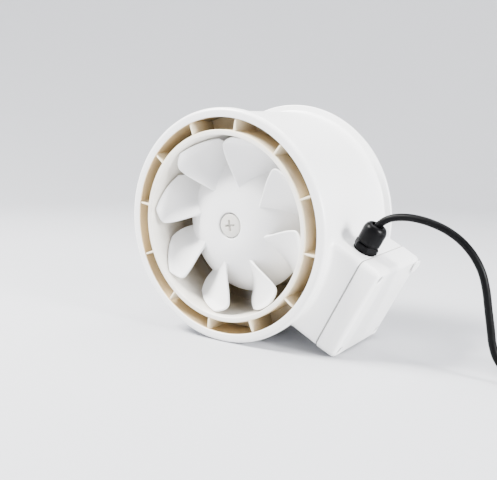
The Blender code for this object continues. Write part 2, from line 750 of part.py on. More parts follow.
def hub_inside(radius):
    step = 0.0005
    slope = (hub_depth(radius + step) - hub_depth(radius - step)) / (2 * step)
    return hub_depth(radius) + HUB_WALL * math.sqrt(1 + slope ** 2)


def hub_profile():
    floor_back = RECESS_FLOOR + 0.0021
    boss = INSERT_RADIUS + GAP
    nose = [
        (THREAD_RADIUS + 2 * GAP, RECESS_FLOOR),
        (RECESS_RADIUS, RECESS_FLOOR),
        (RECESS_RADIUS, NOSE_DEPTH + 0.001),
        (RECESS_RADIUS + 0.0008, NOSE_DEPTH + 0.0002),
    ]
    outside = [(float(r), hub_depth(r)) for r in np.linspace(NOSE_RADIUS, CUP_RADIUS, 7)]
    inside = [(float(r), hub_inside(r)) for r in np.linspace(CUP_RADIUS - 0.0055, boss + 0.0075, 4)]
    return nose + outside + [(CUP_RADIUS, HUB_REAR), (CUP_RADIUS - HUB_WALL, HUB_REAR)] + inside + [
        (boss + 0.0032, hub_inside(boss + 0.0075) + 0.002),
        (boss + 0.0032, HUB_REAR - 0.003),
        (boss, HUB_REAR - 0.003),
        (boss, floor_back),
        (THREAD_RADIUS + 2 * GAP, floor_back),
    ]


def leading_edge(v):
    """(radius, angle in degrees, depth) up the leading edge; its last part curls back into the tip."""
    root = 0.034
    radius = root + (BLADE_TIP - root) * v
    out = (radius - root) * 1000
    curl = max(0.0, (radius - (BLADE_TIP - 0.01)) / 0.01) ** 3
    angle = 124.31 + 0.7745 * out - 0.0111 * out ** 2 - 9.6 * curl
    depth = 0.01623 - 0.0003334 * out + 0.0000025 * out ** 2 - 0.0024 * curl
    return np.array([radius, angle, depth])


def trailing_edge(v):
    root = CUP_RADIUS - 0.001
    return np.array([root + (BLADE_TIP - root) * v, 98.2 + 6.5 * v ** 2, 0.0396 - 0.0156 * v])


def blade_root(u):
    start = leading_edge(0.0)
    end = trailing_edge(0.0)
    row = start + (end - start) * u
    return np.array([row[0], row[1], hub_depth(row[0])])


def blade_tip(u):
    start = leading_edge(1.0)
    end = trailing_edge(1.0)
    row = start + (end - start) * u
    return row - np.array([0.0, 12.2 * u * (1 - u), 0.0])


def blade_point(k, u, v):
    """Blade k: u runs from the leading to the trailing edge, v from just inside the hub to the tip.

    The four edges are blended as a Coons patch in radius, angle and depth.
    """
    v = math.sin(v * math.pi / 2)
    edges = (1 - u) * leading_edge(v) + u * trailing_edge(v) + (1 - v) * blade_root(u) + v * blade_tip(u)
    corners = (1 - u) * ((1 - v) * leading_edge(0.0) + v * leading_edge(1.0))
    corners = corners + u * ((1 - v) * trailing_edge(0.0) + v * trailing_edge(1.0))
    radius, angle, depth = edges - corners
    sink = 0.0014 * (1 - v) ** 8
    turn = math.radians(angle) + 2 * math.pi * k / BLADE_COUNT
    return around(radius - sink, turn, depth + sink)


def make_impeller():
    hub = turned("impeller", hub_profile(), "white_plastic", steps=INNER_ROUND, parent="rotor")
    join(hub, sheets("impeller_blades", BLADE_COUNT, 4, 5, blade_point, BLADE_THICKNESS, parent="rotor"))
    ring("impeller_insert", SHAFT_RADIUS + GAP, INSERT_RADIUS, RECESS_FLOOR + 0.0024, HUB_REAR - 0.003, "brass",
         parent="rotor")
    ring("impeller_washer", THREAD_RADIUS + 2 * GAP, 0.0092, RECESS_FLOOR - GAP - 0.0005, RECESS_FLOOR - GAP,
         "steel", parent="rotor")
    back = RECESS_FLOOR - 2 * GAP - 0.0005
    front = NOSE_DEPTH - 0.0002
    profile = [
        (0.0, front),
        (CAP_SCREW_RADIUS * 0.6, front),
        (CAP_SCREW_RADIUS - 0.0012, front + 0.0004),
        (CAP_SCREW_RADIUS, front + 0.0016),
        (CAP_SCREW_RADIUS, back),
        (THREAD_RADIUS + GAP, back),
        (THREAD_RADIUS + GAP, RECESS_FLOOR - 0.0031),
        (0.0, RECESS_FLOOR - 0.0031),
    ]
    cap = turned("impeller_cap_screw", profile, "cream_plastic", steps=MOTOR_ROUND, parent="rotor")
    half_slot, half_length, deep = 0.001, 0.005, 0.0014
    slots = [
        block(name, (-x, front - 0.002, -z), (x, front + deep, z), "cutter", parent="rotor")
        for name, x, z in (("cap_slot_1", half_slot, half_length), ("cap_slot_2", half_length, half_slot))
    ]
    cut(cap, *slots)


# ---------------------------------------------------------------- terminal box


def make_lid():
    lid = box_block("terminal_box_lid", LID_RIM, LID_FACE, LID_OVERHANG, "white_plastic", face_edge=LID_EDGE)
    cut(lid, box_block("lid_hollow", LID_RIM - 0.005, LID_FACE - BOX_WALL, -BOX_WALL))
    join(lid, post_rods("lid_posts", LID_RIM + GAP, LID_FACE - BOX_WALL / 2, POST_RADIUS))
    cut(lid, post_rods("lid_screw_wells", LID_FACE - 0.012, LID_FACE + 0.005, 0.0032))
    cut(lid, post_rods("lid_screw_holes", LID_RIM - 0.005, LID_FACE - 0.01, SCREW_RADIUS + 2 * GAP, sides=12))
    gasket = box_block("lid_gasket", PARTING - GASKET / 2, PARTING + GASKET / 2, -GASKET_INSET, "grey_rubber")
    cut(gasket, box_block("gasket_hollow", PARTING - 0.005, PARTING + 0.005, -BOX_WALL + GAP))
    for number, (y, z) in enumerate(post_places(), 1):
        place = (LID_FACE - LID_SCREW_DEPTH, y, z)
        screw(f"lid_screw_{number}", place, LID_AXIS, 0.0027, 0.002, SCREW_RADIUS, 0.02)


def make_box_contents():
    floor = CASING_RADIUS + GAP
    middle = GLAND_DEPTH
    terminals = block("terminal_block", (floor, middle - 0.012, -0.012),
                      (floor + 0.0135, middle + 0.012, TERMINAL_SIDE),
                      "terminal_plastic", corner=0.001)
    wells = [((floor + 0.006, middle + 0.0075 * k, -0.004), (floor + 0.02, middle + 0.0075 * k, -0.004))
             for k in (-1, 0, 1)]
    cut(terminals, rods("terminal_wells", wells, 0.0024, sides=12))
    for number, (start, _) in enumerate(wells, 1):
        place = (start[0] + 0.005, start[1], start[2])
        screw(f"terminal_screw_{number}", place, LID_AXIS, 0.0018, 0.002, 0.0014, 0.0045, "brass")
    block("run_capacitor", (floor, BOX_MIDDLE - 0.004, -0.03), (floor + 0.027, BOX_MIDDLE + 0.027, -0.01),
          "black_nylon", corner=0.002)
    start = CUP_RADIUS - CUP_WALL - 0.012
    route = [
        (start, LEAD_DEPTH - 0.002, 0.0),
        (start + 0.006, LEAD_DEPTH - 0.0003, 0.0),
        (start + 0.014, LEAD_DEPTH, 0.0),
        (DUCT_OUTER, LEAD_DEPTH, 0.0),
        (floor - 0.005, LEAD_DEPTH, 0.0),
        (floor + 0.001, LEAD_DEPTH - 0.0006, 0.0),
        (floor + 0.0062, LEAD_DEPTH - 0.0052, -0.0006),
        (floor + 0.0076, LEAD_DEPTH - 0.0125, -0.0017),
        (floor + 0.0076, middle + 0.02, -0.004),
        (floor + 0.0076, middle + 0.012 + GAP, -0.004),
    ]
    tube("motor_lead", smooth_route(route, 0.004), LEAD_RADIUS, "black_rubber")
    ends = [(GLAND_AXIS, GLAND_DEPTH, z) for z in (TERMINAL_SIDE + GAP, GLAND_TOP - GLAND_MOUTH - 2 * GAP)]
    rods("cable_tail", [ends], CORD_RADIUS - GAP, "cord_sheath", sides=12)


def make_gland():
    """Gland through the box's +Z wall: locknut inside, then washer, hexagon body, seal and domed nut."""
    wall_in = BOX_WIDTH / 2 - BOX_WALL
    place = (GLAND_AXIS, GLAND_DEPTH, 0.0)
    upright = (0.0, 0.0, 0.0)
    washer, body, nut, top = WASHER_FACE, GLAND_BODY, GLAND_NUT, GLAND_TOP
    bore = CORD_RADIUS + 0.001
    thread_top = nut + 0.0045
    corner = GLAND_FLAT / math.cos(math.pi / 6)

    def piece(name, profile, kind, steps=SMALL_ROUND + 4):
        return turned(name, profile, kind, steps, turn=upright, at=place)

    stem = piece("gland_body", [(bore, wall_in - 0.0038), (GLAND_THREAD, wall_in - 0.0038),
                                (GLAND_THREAD, thread_top), (bore, thread_top)], "black_nylon")
    hexagon = piece("gland_hexagon", [(bore + 0.001, body), (corner - EDGE, body), (corner, body + EDGE),
                                      (corner, nut - GAP - EDGE), (corner - EDGE, nut - GAP),
                                      (bore + 0.001, nut - GAP)], "cutter", steps=6)
    join(stem, hexagon)
    inner = GLAND_THREAD + GAP
    washer_back = washer + WASHER_THICKNESS
    piece("gland_washer", [(inner, washer), (inner + 0.0024, washer), (inner + 0.0024, washer_back),
                           (inner, washer_back)], "black_rubber")
    locknut_far = wall_in - GAP - 0.003
    locknut = piece("gland_locknut", [(0.0, locknut_far), (inner + 0.0035, locknut_far),
                                      (inner + 0.0035, wall_in - GAP), (0.0, wall_in - GAP)],
                    "black_nylon", steps=6)
    cut(locknut, piece("locknut_bore", [(0.0, locknut_far - 0.002), (inner, locknut_far - 0.002),
                                        (inner, wall_in + 0.002), (0.0, wall_in + 0.002)], "cutter"))
    seal_top = top - GLAND_MOUTH - 0.0007
    piece("gland_seal", [(CORD_RADIUS + GAP, thread_top + GAP), (GLAND_THREAD - GAP, thread_top + GAP),
                         (GLAND_THREAD - GAP, seal_top - 0.002), (CORD_RADIUS + 0.0015, seal_top),
                         (CORD_RADIUS + GAP, seal_top)], "black_rubber")
    dome = [(GLAND_NUT_RADIUS - 0.0042 + 0.0042 * math.cos(a), top - 0.0068 + 0.0068 * math.sin(a))
            for a in np.linspace(0.0, math.pi / 2, 5)]
    profile = [(inner, nut), (GLAND_NUT_RADIUS - EDGE, nut), (GLAND_NUT_RADIUS, nut + EDGE)]
    profile += [(float(r), float(z)) for r, z in dome]
    mouth = CORD_RADIUS + 0.0015
    profile += [(mouth, top), (mouth, seal_top + GAP), (inner, seal_top - 0.0018)]
    piece("gland_dome_nut", profile, "black_nylon")


# ---------------------------------------------------------------- stance, cord and plug


def stance_angles():
    """Pitch that puts both rims on the floor, and roll that brings the lid's lower edge down to it."""
    pitch = math.atan((FLANGE_RADIUS - CASING_RADIUS) / (FLANGE_FRONT - LIP_ROUND))
    floor = CASING_RADIUS + (BOX_FRONT - LIP_ROUND) * math.tan(pitch)
    far = LID_FACE - LID_EDGE
    side = BOX_WIDTH / 2 + LID_OVERHANG - LID_EDGE
    roll = math.asin((floor - LID_EDGE) / math.hypot(far, side)) - math.atan2(side, far)
    return pitch, roll


def stand_on_floor():
    """Moves the fan so that its lowest point is at height 0 and its box is centred on the origin."""
    bpy.context.view_layer.update()
    graph = bpy.context.evaluated_depsgraph_get()
    spots = []
    for piece in PARTS.objects:
        if piece.type == "EMPTY":
            continue
        shape = piece.evaluated_get(graph)
        mesh = shape.to_mesh()
        found = np.empty(len(mesh.vertices) * 3)
        mesh.vertices.foreach_get("co", found)
        turn = np.array(shape.matrix_world)
        spots.append(found.reshape(-1, 3) @ turn[:3, :3].T + turn[:3, 3])
        shape.to_mesh_clear()
    spots = np.concatenate(spots)
    low, high = spots.min(axis=0), spots.max(axis=0)
    HOLDERS["stance"].location = (-(low[0] + high[0]) / 2, -(low[1] + high[1]) / 2, -low[2])
    bpy.context.view_layer.update()


def make_cord():
    """The cord starts in the gland's mouth, bends over and falls to the floor, where it runs into the coil.

    The route follows the gland if that moves, fully at the gland and less and less towards the coil.
    """
    stance = HOLDERS["stance"].matrix_world
    route = [tuple(stance @ Vector((GLAND_AXIS, GLAND_DEPTH, GLAND_TOP - d))) for d in (GLAND_MOUTH, CORD_LIP)]
    moved = stance @ Vector((GLAND_AXIS, GLAND_DEPTH, GLAND_TOP)) - Vector(CORD_REST)
    last = len(CORD_ROUTE) - 1
    route += [tuple(Vector(point) + moved * (1 - k / last)) for k, point in enumerate(CORD_ROUTE)]
    tube("power_cord", smooth_route(route, 0.007), CORD_RADIUS, "cord_sheath", "floor")
    tube("cord_tail", smooth_route(TAIL_ROUTE, 0.007), CORD_RADIUS, "cord_sheath", "floor")


def make_coil():
    """A ring with the outline of the bundle of turns, and the strap around it at its far side."""
    half_width, soft = COIL_WIDTH / 2, CORD_RADIUS
    middle = COIL_TURN_RADIUS
    low = TIE_THICKNESS + GAP
    high = low + COIL_HEIGHT
    profile = [
        (middle - half_width + soft, low),
        (middle + half_width - soft, low),
        (middle + half_width, low + soft),
        (middle + half_width, high - soft),
        (middle + half_width - soft, high),
        (middle - half_width + soft, high),
        (middle - half_width, high - soft),
        (middle - half_width, low + soft),
    ]
    turned("cord_coil", profile, "cord_sheath", MOTOR_ROUND, "floor", (0.0, 0.0, 0.0), (*COIL_CENTRE, 0.0))
    x, y = COIL_CENTRE[0], COIL_CENTRE[1] + middle
    reach = half_width + TIE_CLEARANCE
    wall = TIE_THICKNESS
    tie = block("cord_tie", (x - TIE_WIDTH / 2, y - reach - wall, 0.0),
                (x + TIE_WIDTH / 2, y + reach + wall, high + GAP + wall), "black_rubber", corner=0.0015,
                parent="floor")
    inside = block("cord_tie_inside", (x - TIE_WIDTH, y - reach, wall), (x + TIE_WIDTH, y + reach, high + GAP),
                   "cutter", corner=0.0011, parent="floor")
    cut(tie, inside)


def make_plug():
    """A flat two-pin plug on the floor; local +X is the way its pins point."""
    length, width, height = PLUG_SIZE
    body = block("plug_body", (-length / 2, -width / 2, 0.0), (length / 2, width / 2, height), "black_nylon",
                 corner=0.004, face_edge=0.0012, parent="plug")
    back = -length / 2 - PLUG_RELIEF
    relief = rods("plug_relief", [((back, 0.0, height / 2), (-length / 2 + 0.004, 0.0, height / 2))],
                  CORD_RADIUS + 0.0015, parent="plug")
    join(body, relief)
    for number, side in enumerate((-1, 1), 1):
        y = side * PIN_SPACING / 2
        z = height / 2
        rods(f"plug_pin_{number}", [((length / 2 + GAP, y, z), (length / 2 + GAP + PIN_LENGTH, y, z))],
             PIN_RADIUS, "brass", sides=12, parent="plug")


def add_holder(name, parent=None):
    made = bpy.data.objects.new(name, None)
    PARTS.objects.link(made)
    made.parent = parent
    return made


clear_scene()
PARTS = add_collection("inline_duct_fan")
CUTTERS = add_collection("cutters", hidden=True)
HOLDERS = {"stance": add_holder("fan_stance"), "floor": None}
HOLDERS["rotor"] = add_holder("rotor_axis", HOLDERS["stance"])
HOLDERS["plug"] = add_holder("plug_place")
PITCH, ROLL = stance_angles()
HOLDERS["stance"].rotation_mode = "YXZ"
HOLDERS["stance"].rotation_euler = (PITCH, ROLL, 0.0)
HOLDERS["rotor"].rotation_euler = (0.0, -IMPELLER_REST, 0.0)
HOLDERS["plug"].location = (*PLUG_CENTRE, 0.0)
HOLDERS["plug"].rotation_euler = (0.0, 0.0, PLUG_TURN)

make_casing()
make_sleeve()
make_housing()
make_housing_screws()
make_motor()
make_motor_cover()
make_motor_bolts()
make_impeller()
make_lid()
make_box_contents()
make_gland()
stand_on_floor()
make_cord()
make_coil()
make_plug()
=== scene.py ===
"""Looks of a round inline duct fan: casing, sleeve, impeller, terminal box, gland, rear side, cord and plug.

Surfaces are worked out in the fan's own three directions: out of the terminal box's lid, back along the fan's
axis from the intake, and up the box towards the gland. at() puts such points in the world.
"""

import json
import math

import bmesh
import bpy
import numpy as np
from bpy.props import FloatProperty, FloatVectorProperty, IntProperty, PointerProperty
from mathutils import Matrix, Vector


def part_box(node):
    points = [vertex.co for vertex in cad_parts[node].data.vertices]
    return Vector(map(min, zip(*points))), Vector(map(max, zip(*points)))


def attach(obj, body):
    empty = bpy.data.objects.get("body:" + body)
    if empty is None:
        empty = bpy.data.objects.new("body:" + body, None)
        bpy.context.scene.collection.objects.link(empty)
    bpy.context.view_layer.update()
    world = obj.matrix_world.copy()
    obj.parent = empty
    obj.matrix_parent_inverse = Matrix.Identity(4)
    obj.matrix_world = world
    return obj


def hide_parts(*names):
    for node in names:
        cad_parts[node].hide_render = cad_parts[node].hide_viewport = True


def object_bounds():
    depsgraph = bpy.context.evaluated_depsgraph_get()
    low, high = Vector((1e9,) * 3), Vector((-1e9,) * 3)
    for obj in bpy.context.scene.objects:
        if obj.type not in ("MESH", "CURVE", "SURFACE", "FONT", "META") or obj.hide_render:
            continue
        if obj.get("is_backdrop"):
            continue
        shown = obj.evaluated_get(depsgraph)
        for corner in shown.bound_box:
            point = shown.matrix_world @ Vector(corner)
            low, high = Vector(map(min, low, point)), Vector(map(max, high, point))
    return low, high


bl_info = {
    "name": "Inline duct fan",
    "version": (1, 0, 0),
    "blender": (4, 5, 0),
    "location": "View3D > Sidebar > Duct fan",
    "description": "Builds the surfaces and finishes of an inline duct fan on its packed frame",
    "category": "Object",
}

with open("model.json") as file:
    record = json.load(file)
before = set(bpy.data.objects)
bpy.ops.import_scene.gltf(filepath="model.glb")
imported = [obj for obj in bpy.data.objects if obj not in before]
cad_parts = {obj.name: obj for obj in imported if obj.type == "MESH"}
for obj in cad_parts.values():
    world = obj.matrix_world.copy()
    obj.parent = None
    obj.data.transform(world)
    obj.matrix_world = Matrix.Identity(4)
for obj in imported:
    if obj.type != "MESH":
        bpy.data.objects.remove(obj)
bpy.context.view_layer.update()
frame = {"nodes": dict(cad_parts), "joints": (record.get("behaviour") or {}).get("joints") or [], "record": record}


# ---- the fan's own directions


def node_points(node):
    mesh = frame["nodes"][node].data
    found = np.empty(len(mesh.vertices) * 3, np.float32)
    mesh.vertices.foreach_get("co", found)
    return np.unique(np.round(found.reshape(-1, 3).astype(float), 6), axis=0)


def unit(vector):
    vector = np.asarray(vector, float)
    return vector / np.linalg.norm(vector)


SPIN = next(joint for joint in frame["joints"] if joint["name"] == "impeller_spin")
FRONT = np.array(SPIN["pos_m"], float)  # centre of the casing's front plane
BACK = -unit(SPIN["axis"])
GASKET_MIDDLE = node_points("lid_gasket").mean(axis=0) - FRONT
OUT = unit(GASKET_MIDDLE - BACK * (GASKET_MIDDLE @ BACK))
UP = np.cross(OUT, BACK)
AXES = np.stack([OUT, BACK, UP])
BOX_MIDDLE = float(GASKET_MIDDLE @ BACK)
PARTING = float(GASKET_MIDDLE @ OUT)


def at(points):
    """World places of points given as (out, back, up)."""
    return FRONT + np.asarray(points, float) @ AXES


def seen_along(node):
    """Lowest and highest (out, back, up) of a CAD node."""
    local = (node_points(node) - FRONT) @ AXES.T
    return local.min(axis=0), local.max(axis=0)


def on_gland(level):
    """World place on the gland's axis, at a level along UP."""
    return at((*(NUT_LOW + NUT_HIGH)[:2] / 2, level))


def middle_of(node):
    low, high = seen_along(node)
    return (low + high) / 2


LID_LOW, LID_HIGH = seen_along("terminal_box_lid")
LID_HALF_BACK, LID_HALF_UP = (LID_HIGH - LID_LOW)[1:] / 2
COVER_LOW, COVER_HIGH = seen_along("motor_cover")
NUT_LOW, NUT_HIGH = seen_along("gland_dome_nut")
HEXAGON_LOW = seen_along("gland_body")[0]
PLUG_LOW, PLUG_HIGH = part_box("plug_body")
PIN_LOW, PIN_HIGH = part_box("plug_pin_1")
COIL_LOW, COIL_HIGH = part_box("cord_coil")
TIE_LOW, TIE_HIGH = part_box("cord_tie")


# ---- settings


def length(name, description, default):
    return FloatProperty(name=name, description=description, default=default, unit="LENGTH", precision=5)


def turning(name, description, degrees):
    return FloatProperty(name=name, description=description, default=math.radians(degrees), unit="ROTATION")


def share(name, description, default):
    return FloatProperty(name=name, description=description, default=default, min=0.0, max=1.0,
                         subtype="FACTOR")


def colour(name, description, default):
    return FloatVectorProperty(name=name, description=description, default=default, size=3, min=0.0, max=1.0,
                               subtype="COLOR")


class CasingSettings(bpy.types.PropertyGroup):
    radius: length("Radius", "Outer radius at the front lip", 0.1)
    body_step: length("Body step", "How far the lip stands out beyond the body behind it", 0.0028)
    lip_depth: length("Lip depth", "Depth of the lip's outer surface", 0.0068)
    lip_slope: length("Lip slope", "Depth of the slope from the lip down to the body", 0.0036)
    draft: length("Draft", "How much smaller the body's radius is at the rear", 0.0012)
    wall: length("Wall", "Wall thickness", 0.0025)
    body_length: length("Length", "From the front lip to the rear flange's face", 0.1212)
    lip_width: length("Lip width", "Width of the front lip's flat ring", 0.0078)
    lip_round: length("Lip round", "Rounding of the lip's outer edge", 0.0035)
    flange_step: length("Flange step", "How far the rear flange stands out", 0.0065)
    flange_thickness: length("Flange thickness", "Thickness of the rear flange", 0.0035)
    flange_root: length("Flange root", "Fillet between the casing and its flange", 0.0022)
    sides: IntProperty(name="Sides", description="Steps around the casing", default=256, min=24, max=512)


class SleeveSettings(bpy.types.PropertyGroup):
    bore: length("Bore radius", "Inner radius of the sleeve and duct", 0.0776)
    wall: length("Wall", "Wall thickness of the sleeve", 0.0044)
    end: length("End", "Depth of the sleeve's rear end", 0.0577)
    edge: length("Edge", "Rounding of the front rim", 0.0009)
    rib_count: IntProperty(name="Ribs", description="Flat ribs around the sleeve", default=12, min=3, max=36)
    rib_first: turning("First rib", "Angle of the first rib from the terminal box", 18.5)
    rib_thickness: length("Rib thickness", "Thickness of a rib", 0.0016)
    rib_round: length("Rib round", "Rounding of a rib's front corner", 0.006)
    rib_end: length("Rib end", "Depth of the ribs' rear end", 0.033)
    web_depth: length("Web depth", "Depth of the ring that closes the space between sleeve and casing", 0.032)
    web_thickness: length("Web thickness", "Thickness of that ring", 0.002)


class ImpellerSettings(bpy.types.PropertyGroup):
    blades: IntProperty(name="Blades", description="Number of blades", default=8, min=2, max=16)
    rest: turning("Rest angle", "How far the impeller stands turned from the terminal box", 27.7)
    hub_radius: length("Hub radius", "Radius of the hub's rear edge", 0.062)
    hub_rear: length("Hub rear", "Depth of the hub's rear edge", 0.0408)
    nose_depth: length("Nose depth", "Depth of the hub's flat nose", 0.013)
    nose_radius: length("Nose radius", "Radius of the flat nose", 0.014)
    recess_radius: length("Recess radius", "Radius of the cap screw's recess", 0.0114)
    recess_floor: length("Recess floor", "Depth of the recess's floor", 0.0184)
    hub_wall: length("Hub wall", "Wall thickness of the hub", 0.0025)
    blade_root: length("Blade root", "Radius where the leading edge meets the hub", 0.034)
    blade_tip: length("Blade tip", "Radius of the blade tips", 0.076)
    blade_thickness: length("Blade thickness", "Thickness of a blade", 0.0019)
    root_flare: length("Root flare", "How much thicker each side of a blade is where it meets the hub", 0.0016)
    cap_radius: length("Cap radius", "Radius of the cap screw", 0.0102)
    cross_turn: turning("Cross angle", "How far the cap screw's cross stands turned", -36.0)


class BoxSettings(bpy.types.PropertyGroup):
    wall: length("Wall", "Wall thickness of the base and the lid", 0.0025)
    corner: length("Corner", "Radius of the box's upright corners", 0.005)
    foot: length("Foot", "Fillet between the base and the casing", 0.0045)
    rim_gap: length("Rim gap", "From the parting plane to the rim of the base or the lid", 0.0007)
    overhang: length("Overhang", "How far the lid stands over the base", 0.0005)
    lid_round: length("Lid round", "Rounding of the lid's front edges", 0.004)
    lid_draft: length("Lid draft", "How much the lid's sides lean in", 0.0005)
    post_inset: length("Screw inset", "From the base's sides to a lid screw", 0.0068)
    well_radius: length("Well radius", "Radius of a lid screw's well", 0.0035)
    well_edge: length("Well edge", "Width of the broken edge around a well", 0.0008)


class RearSettings(bpy.types.PropertyGroup):
    collar_start: length("Collar start", "Depth where the housing's collar starts", 0.05)
    cup_radius: length("Cup radius", "Outer radius of the motor cup", 0.062)
    cup_front: length("Cup front", "Depth of the motor cup's front", 0.043)
    cup_rear: length("Cup rear", "Depth of the motor cup's rear rim", 0.096)
    cup_wall: length("Cup wall", "Wall thickness of the motor cup", 0.0025)
    plate_recess: length("Plate recess", "From the flange's face to the rear plate", 0.0037)
    plate_thickness: length("Plate thickness", "Thickness of the rear plate", 0.0027)
    vanes: IntProperty(name="Vanes", description="Number of guide vanes", default=9, min=3, max=24)
    vane_first: turning("First vane", "Angle of the first guide vane from the terminal box", 20.0)
    vane_sweep: turning("Vane sweep", "How far a guide vane turns along its length", 15.0)
    vane_front: length("Vane front", "Depth of the guide vanes' front edges", 0.0605)
    vane_rear: length("Vane rear", "Depth of the guide vanes' rear edges", 0.086)
    vane_thickness: length("Vane thickness", "Thickness of a guide vane", 0.002)
    cover_rise: length("Cover rise", "Height of the motor cover's dome", 0.0115)


class GlandSettings(bpy.types.PropertyGroup):
    hexagon_flat: length("Hexagon flat", "Half the width across the body's flats", 0.0093)
    nut_radius: length("Nut radius", "Radius of the domed nut", 0.0098)
    nut_flat: length("Nut flat", "Distance of the nut's flats from its axis", 0.0091)
    dome_height: length("Dome height", "Height of the nut's domed end", 0.0068)
    dome_inset: length("Dome inset", "How far the dome closes in", 0.0042)
    mouth_depth: length("Mouth depth", "Depth of the nut's mouth", 0.0065)


class CordSettings(bpy.types.PropertyGroup):
    diameter: length("Diameter", "Diameter of the round cord", 0.006)
    turn_radius: length("Turn radius", "Radius of the coil at the middle of its turns", 0.0345)
    pitch: length("Pitch", "From one turn to the next", 0.006)
    spacing: length("Spacing", "From one point of the cord's line to the next", 0.0028)
    tie_thickness: length("Tie thickness", "Thickness of the strap around the coil", 0.0008)


class FinishSettings(bpy.types.PropertyGroup):
    white: colour("White", "Casing, lid and impeller", (0.9, 0.9, 0.9))
    cream: colour("Cream", "Sleeve, ribs and guide vanes", (0.87, 0.84, 0.77))
    tan: colour("Tan", "Inner face of the casing's wall", (0.84, 0.66, 0.40))
    rib: colour("Rib", "Ribs and the sleeve's outer side", (0.86, 0.77, 0.58))
    cap: colour("Cap", "Cap screw", (0.66, 0.64, 0.59))
    black: colour("Black", "Gland, cord and plug", (0.0012, 0.0012, 0.0014))
    grain: length("Grain", "Height of the moulded surface's fine grain", 0.00004)
    wear: share("Wear", "How much the edges are polished by handling", 0.35)


class StageSettings(bpy.types.PropertyGroup):
    camera_place: FloatVectorProperty(name="Camera", description="Where the camera stands",
                                      default=(0.3450, -0.5524, 0.1862), size=3, subtype="TRANSLATION")
    camera_aim: FloatVectorProperty(name="Aim", description="Point that the camera looks at",
                                    default=(0.01195, -0.06219, 0.09251), size=3, subtype="TRANSLATION")
    camera_roll: turning("Roll", "How far the camera leans", 0.707)
    focal: FloatProperty(name="Focal length", description="Lens in millimetres", default=53.0, min=1.0)
    floor_radius: length("Floor radius", "Flat part of the floor", 1.1)
    floor_curve: length("Floor curve", "Radius of the rise from floor to wall", 0.9)
    floor_colour: colour("Floor", "Floor and wall", (0.5, 0.507, 0.53))


GROUPS = {
    "casing": CasingSettings,
    "sleeve": SleeveSettings,
    "impeller": ImpellerSettings,
    "box": BoxSettings,
    "rear": RearSettings,
    "gland": GlandSettings,
    "cord": CordSettings,
    "finish": FinishSettings,
    "stage": StageSettings,
}


class DuctFanSettings(bpy.types.PropertyGroup):
    __annotations__ = {key: PointerProperty(type=group) for key, group in GROUPS.items()}


# ---- surfaces


def grid(points, rows_meet=False, columns_meet=True):
    """Quads between neighbours of a (rows, columns, 3) array; either way round can close on itself."""
    rows, columns = points.shape[:2]
    r = np.arange(rows if rows_meet else rows - 1)[:, None]
    c = np.arange(columns if columns_meet else columns - 1)[None, :]
    after, beside = (r + 1) % rows, (c + 1) % columns
    corners = [r * columns + c, after * columns + c, after * columns + beside, r * columns + beside]
    faces = np.stack([np.broadcast_to(k, (len(r), c.shape[1])) for k in corners], axis=-1)
    return points.reshape(-1, 3), faces.reshape(-1, 4)


def quarter(count):
    """Angles from 0 to a quarter turn."""
    return np.linspace(0.0, math.pi / 2, count)


def rounded(corners, pieces=6, closed=True):
    """An outline of (x, y, radius) corners, each replaced by an arc of that radius that touches both sides."""
    places = np.array([corner[:2] for corner in corners], float)
    made = []
    for k, (x, y, radius) in enumerate(corners):
        if radius == 0 or (not closed and k in (0, len(corners) - 1)):
            made.append([(x, y)])
            continue
        before = places[k - 1] - places[k]
        after = places[(k + 1) % len(places)] - places[k]
        before, room_before = unit(before), np.linalg.norm(before)
        after, room_after = unit(after), np.linalg.norm(after)
        half = math.acos(np.clip(before @ after, -1.0, 1.0)) / 2
        reach = min(radius / math.tan(half), 0.49 * room_before, 0.49 * room_after)
        radius = reach * math.tan(half)
        centre = places[k] + unit(before + after) * radius / math.sin(half)
        start, end = places[k] + before * reach - centre, places[k] + after * reach - centre
        swing = math.pi - 2 * half
        step = np.linspace(0.0, 1.0, pieces + 1)[:, None]
        share_start, share_end = np.sin((1 - step) * swing), np.sin(step * swing)
        made.append(centre + (share_start * start + share_end * end) / math.sin(swing))
    return np.concatenate([np.reshape(part, (-1, 2)) for part in made])


def sideways(axis):
    """Two directions square to an axis and to each other."""
    axis = unit(axis)
    trial = UP if abs(axis @ UP) < 0.9 else OUT
    first = unit(trial - axis * (axis @ trial))
    return first, np.cross(axis, first)


def turned(profile, origin=None, axis=None, sides=256, closed=True, swell=None):
    """A profile of (radius, height) points carried once around an axis.

    Each point becomes a circle of its radius at its height. swell(angle, height) is a factor on the radius,
    for flats and flutes. A profile that is not closed starts and ends on the axis.
    """
    origin = FRONT if origin is None else origin
    axis = BACK if axis is None else unit(axis)
    profile = np.asarray(profile, float)
    first, second = (OUT, UP) if axis is BACK else sideways(axis)
    angle = np.linspace(0.0, math.tau, sides, endpoint=False)[None, :, None]
    radius, height = profile[:, 0][:, None, None], profile[:, 1][:, None, None]
    if swell is not None:
        radius = radius * swell(angle, height)
    points = origin + axis * height + radius * (first * np.cos(angle) + second * np.sin(angle))
    return grid(points, rows_meet=closed)


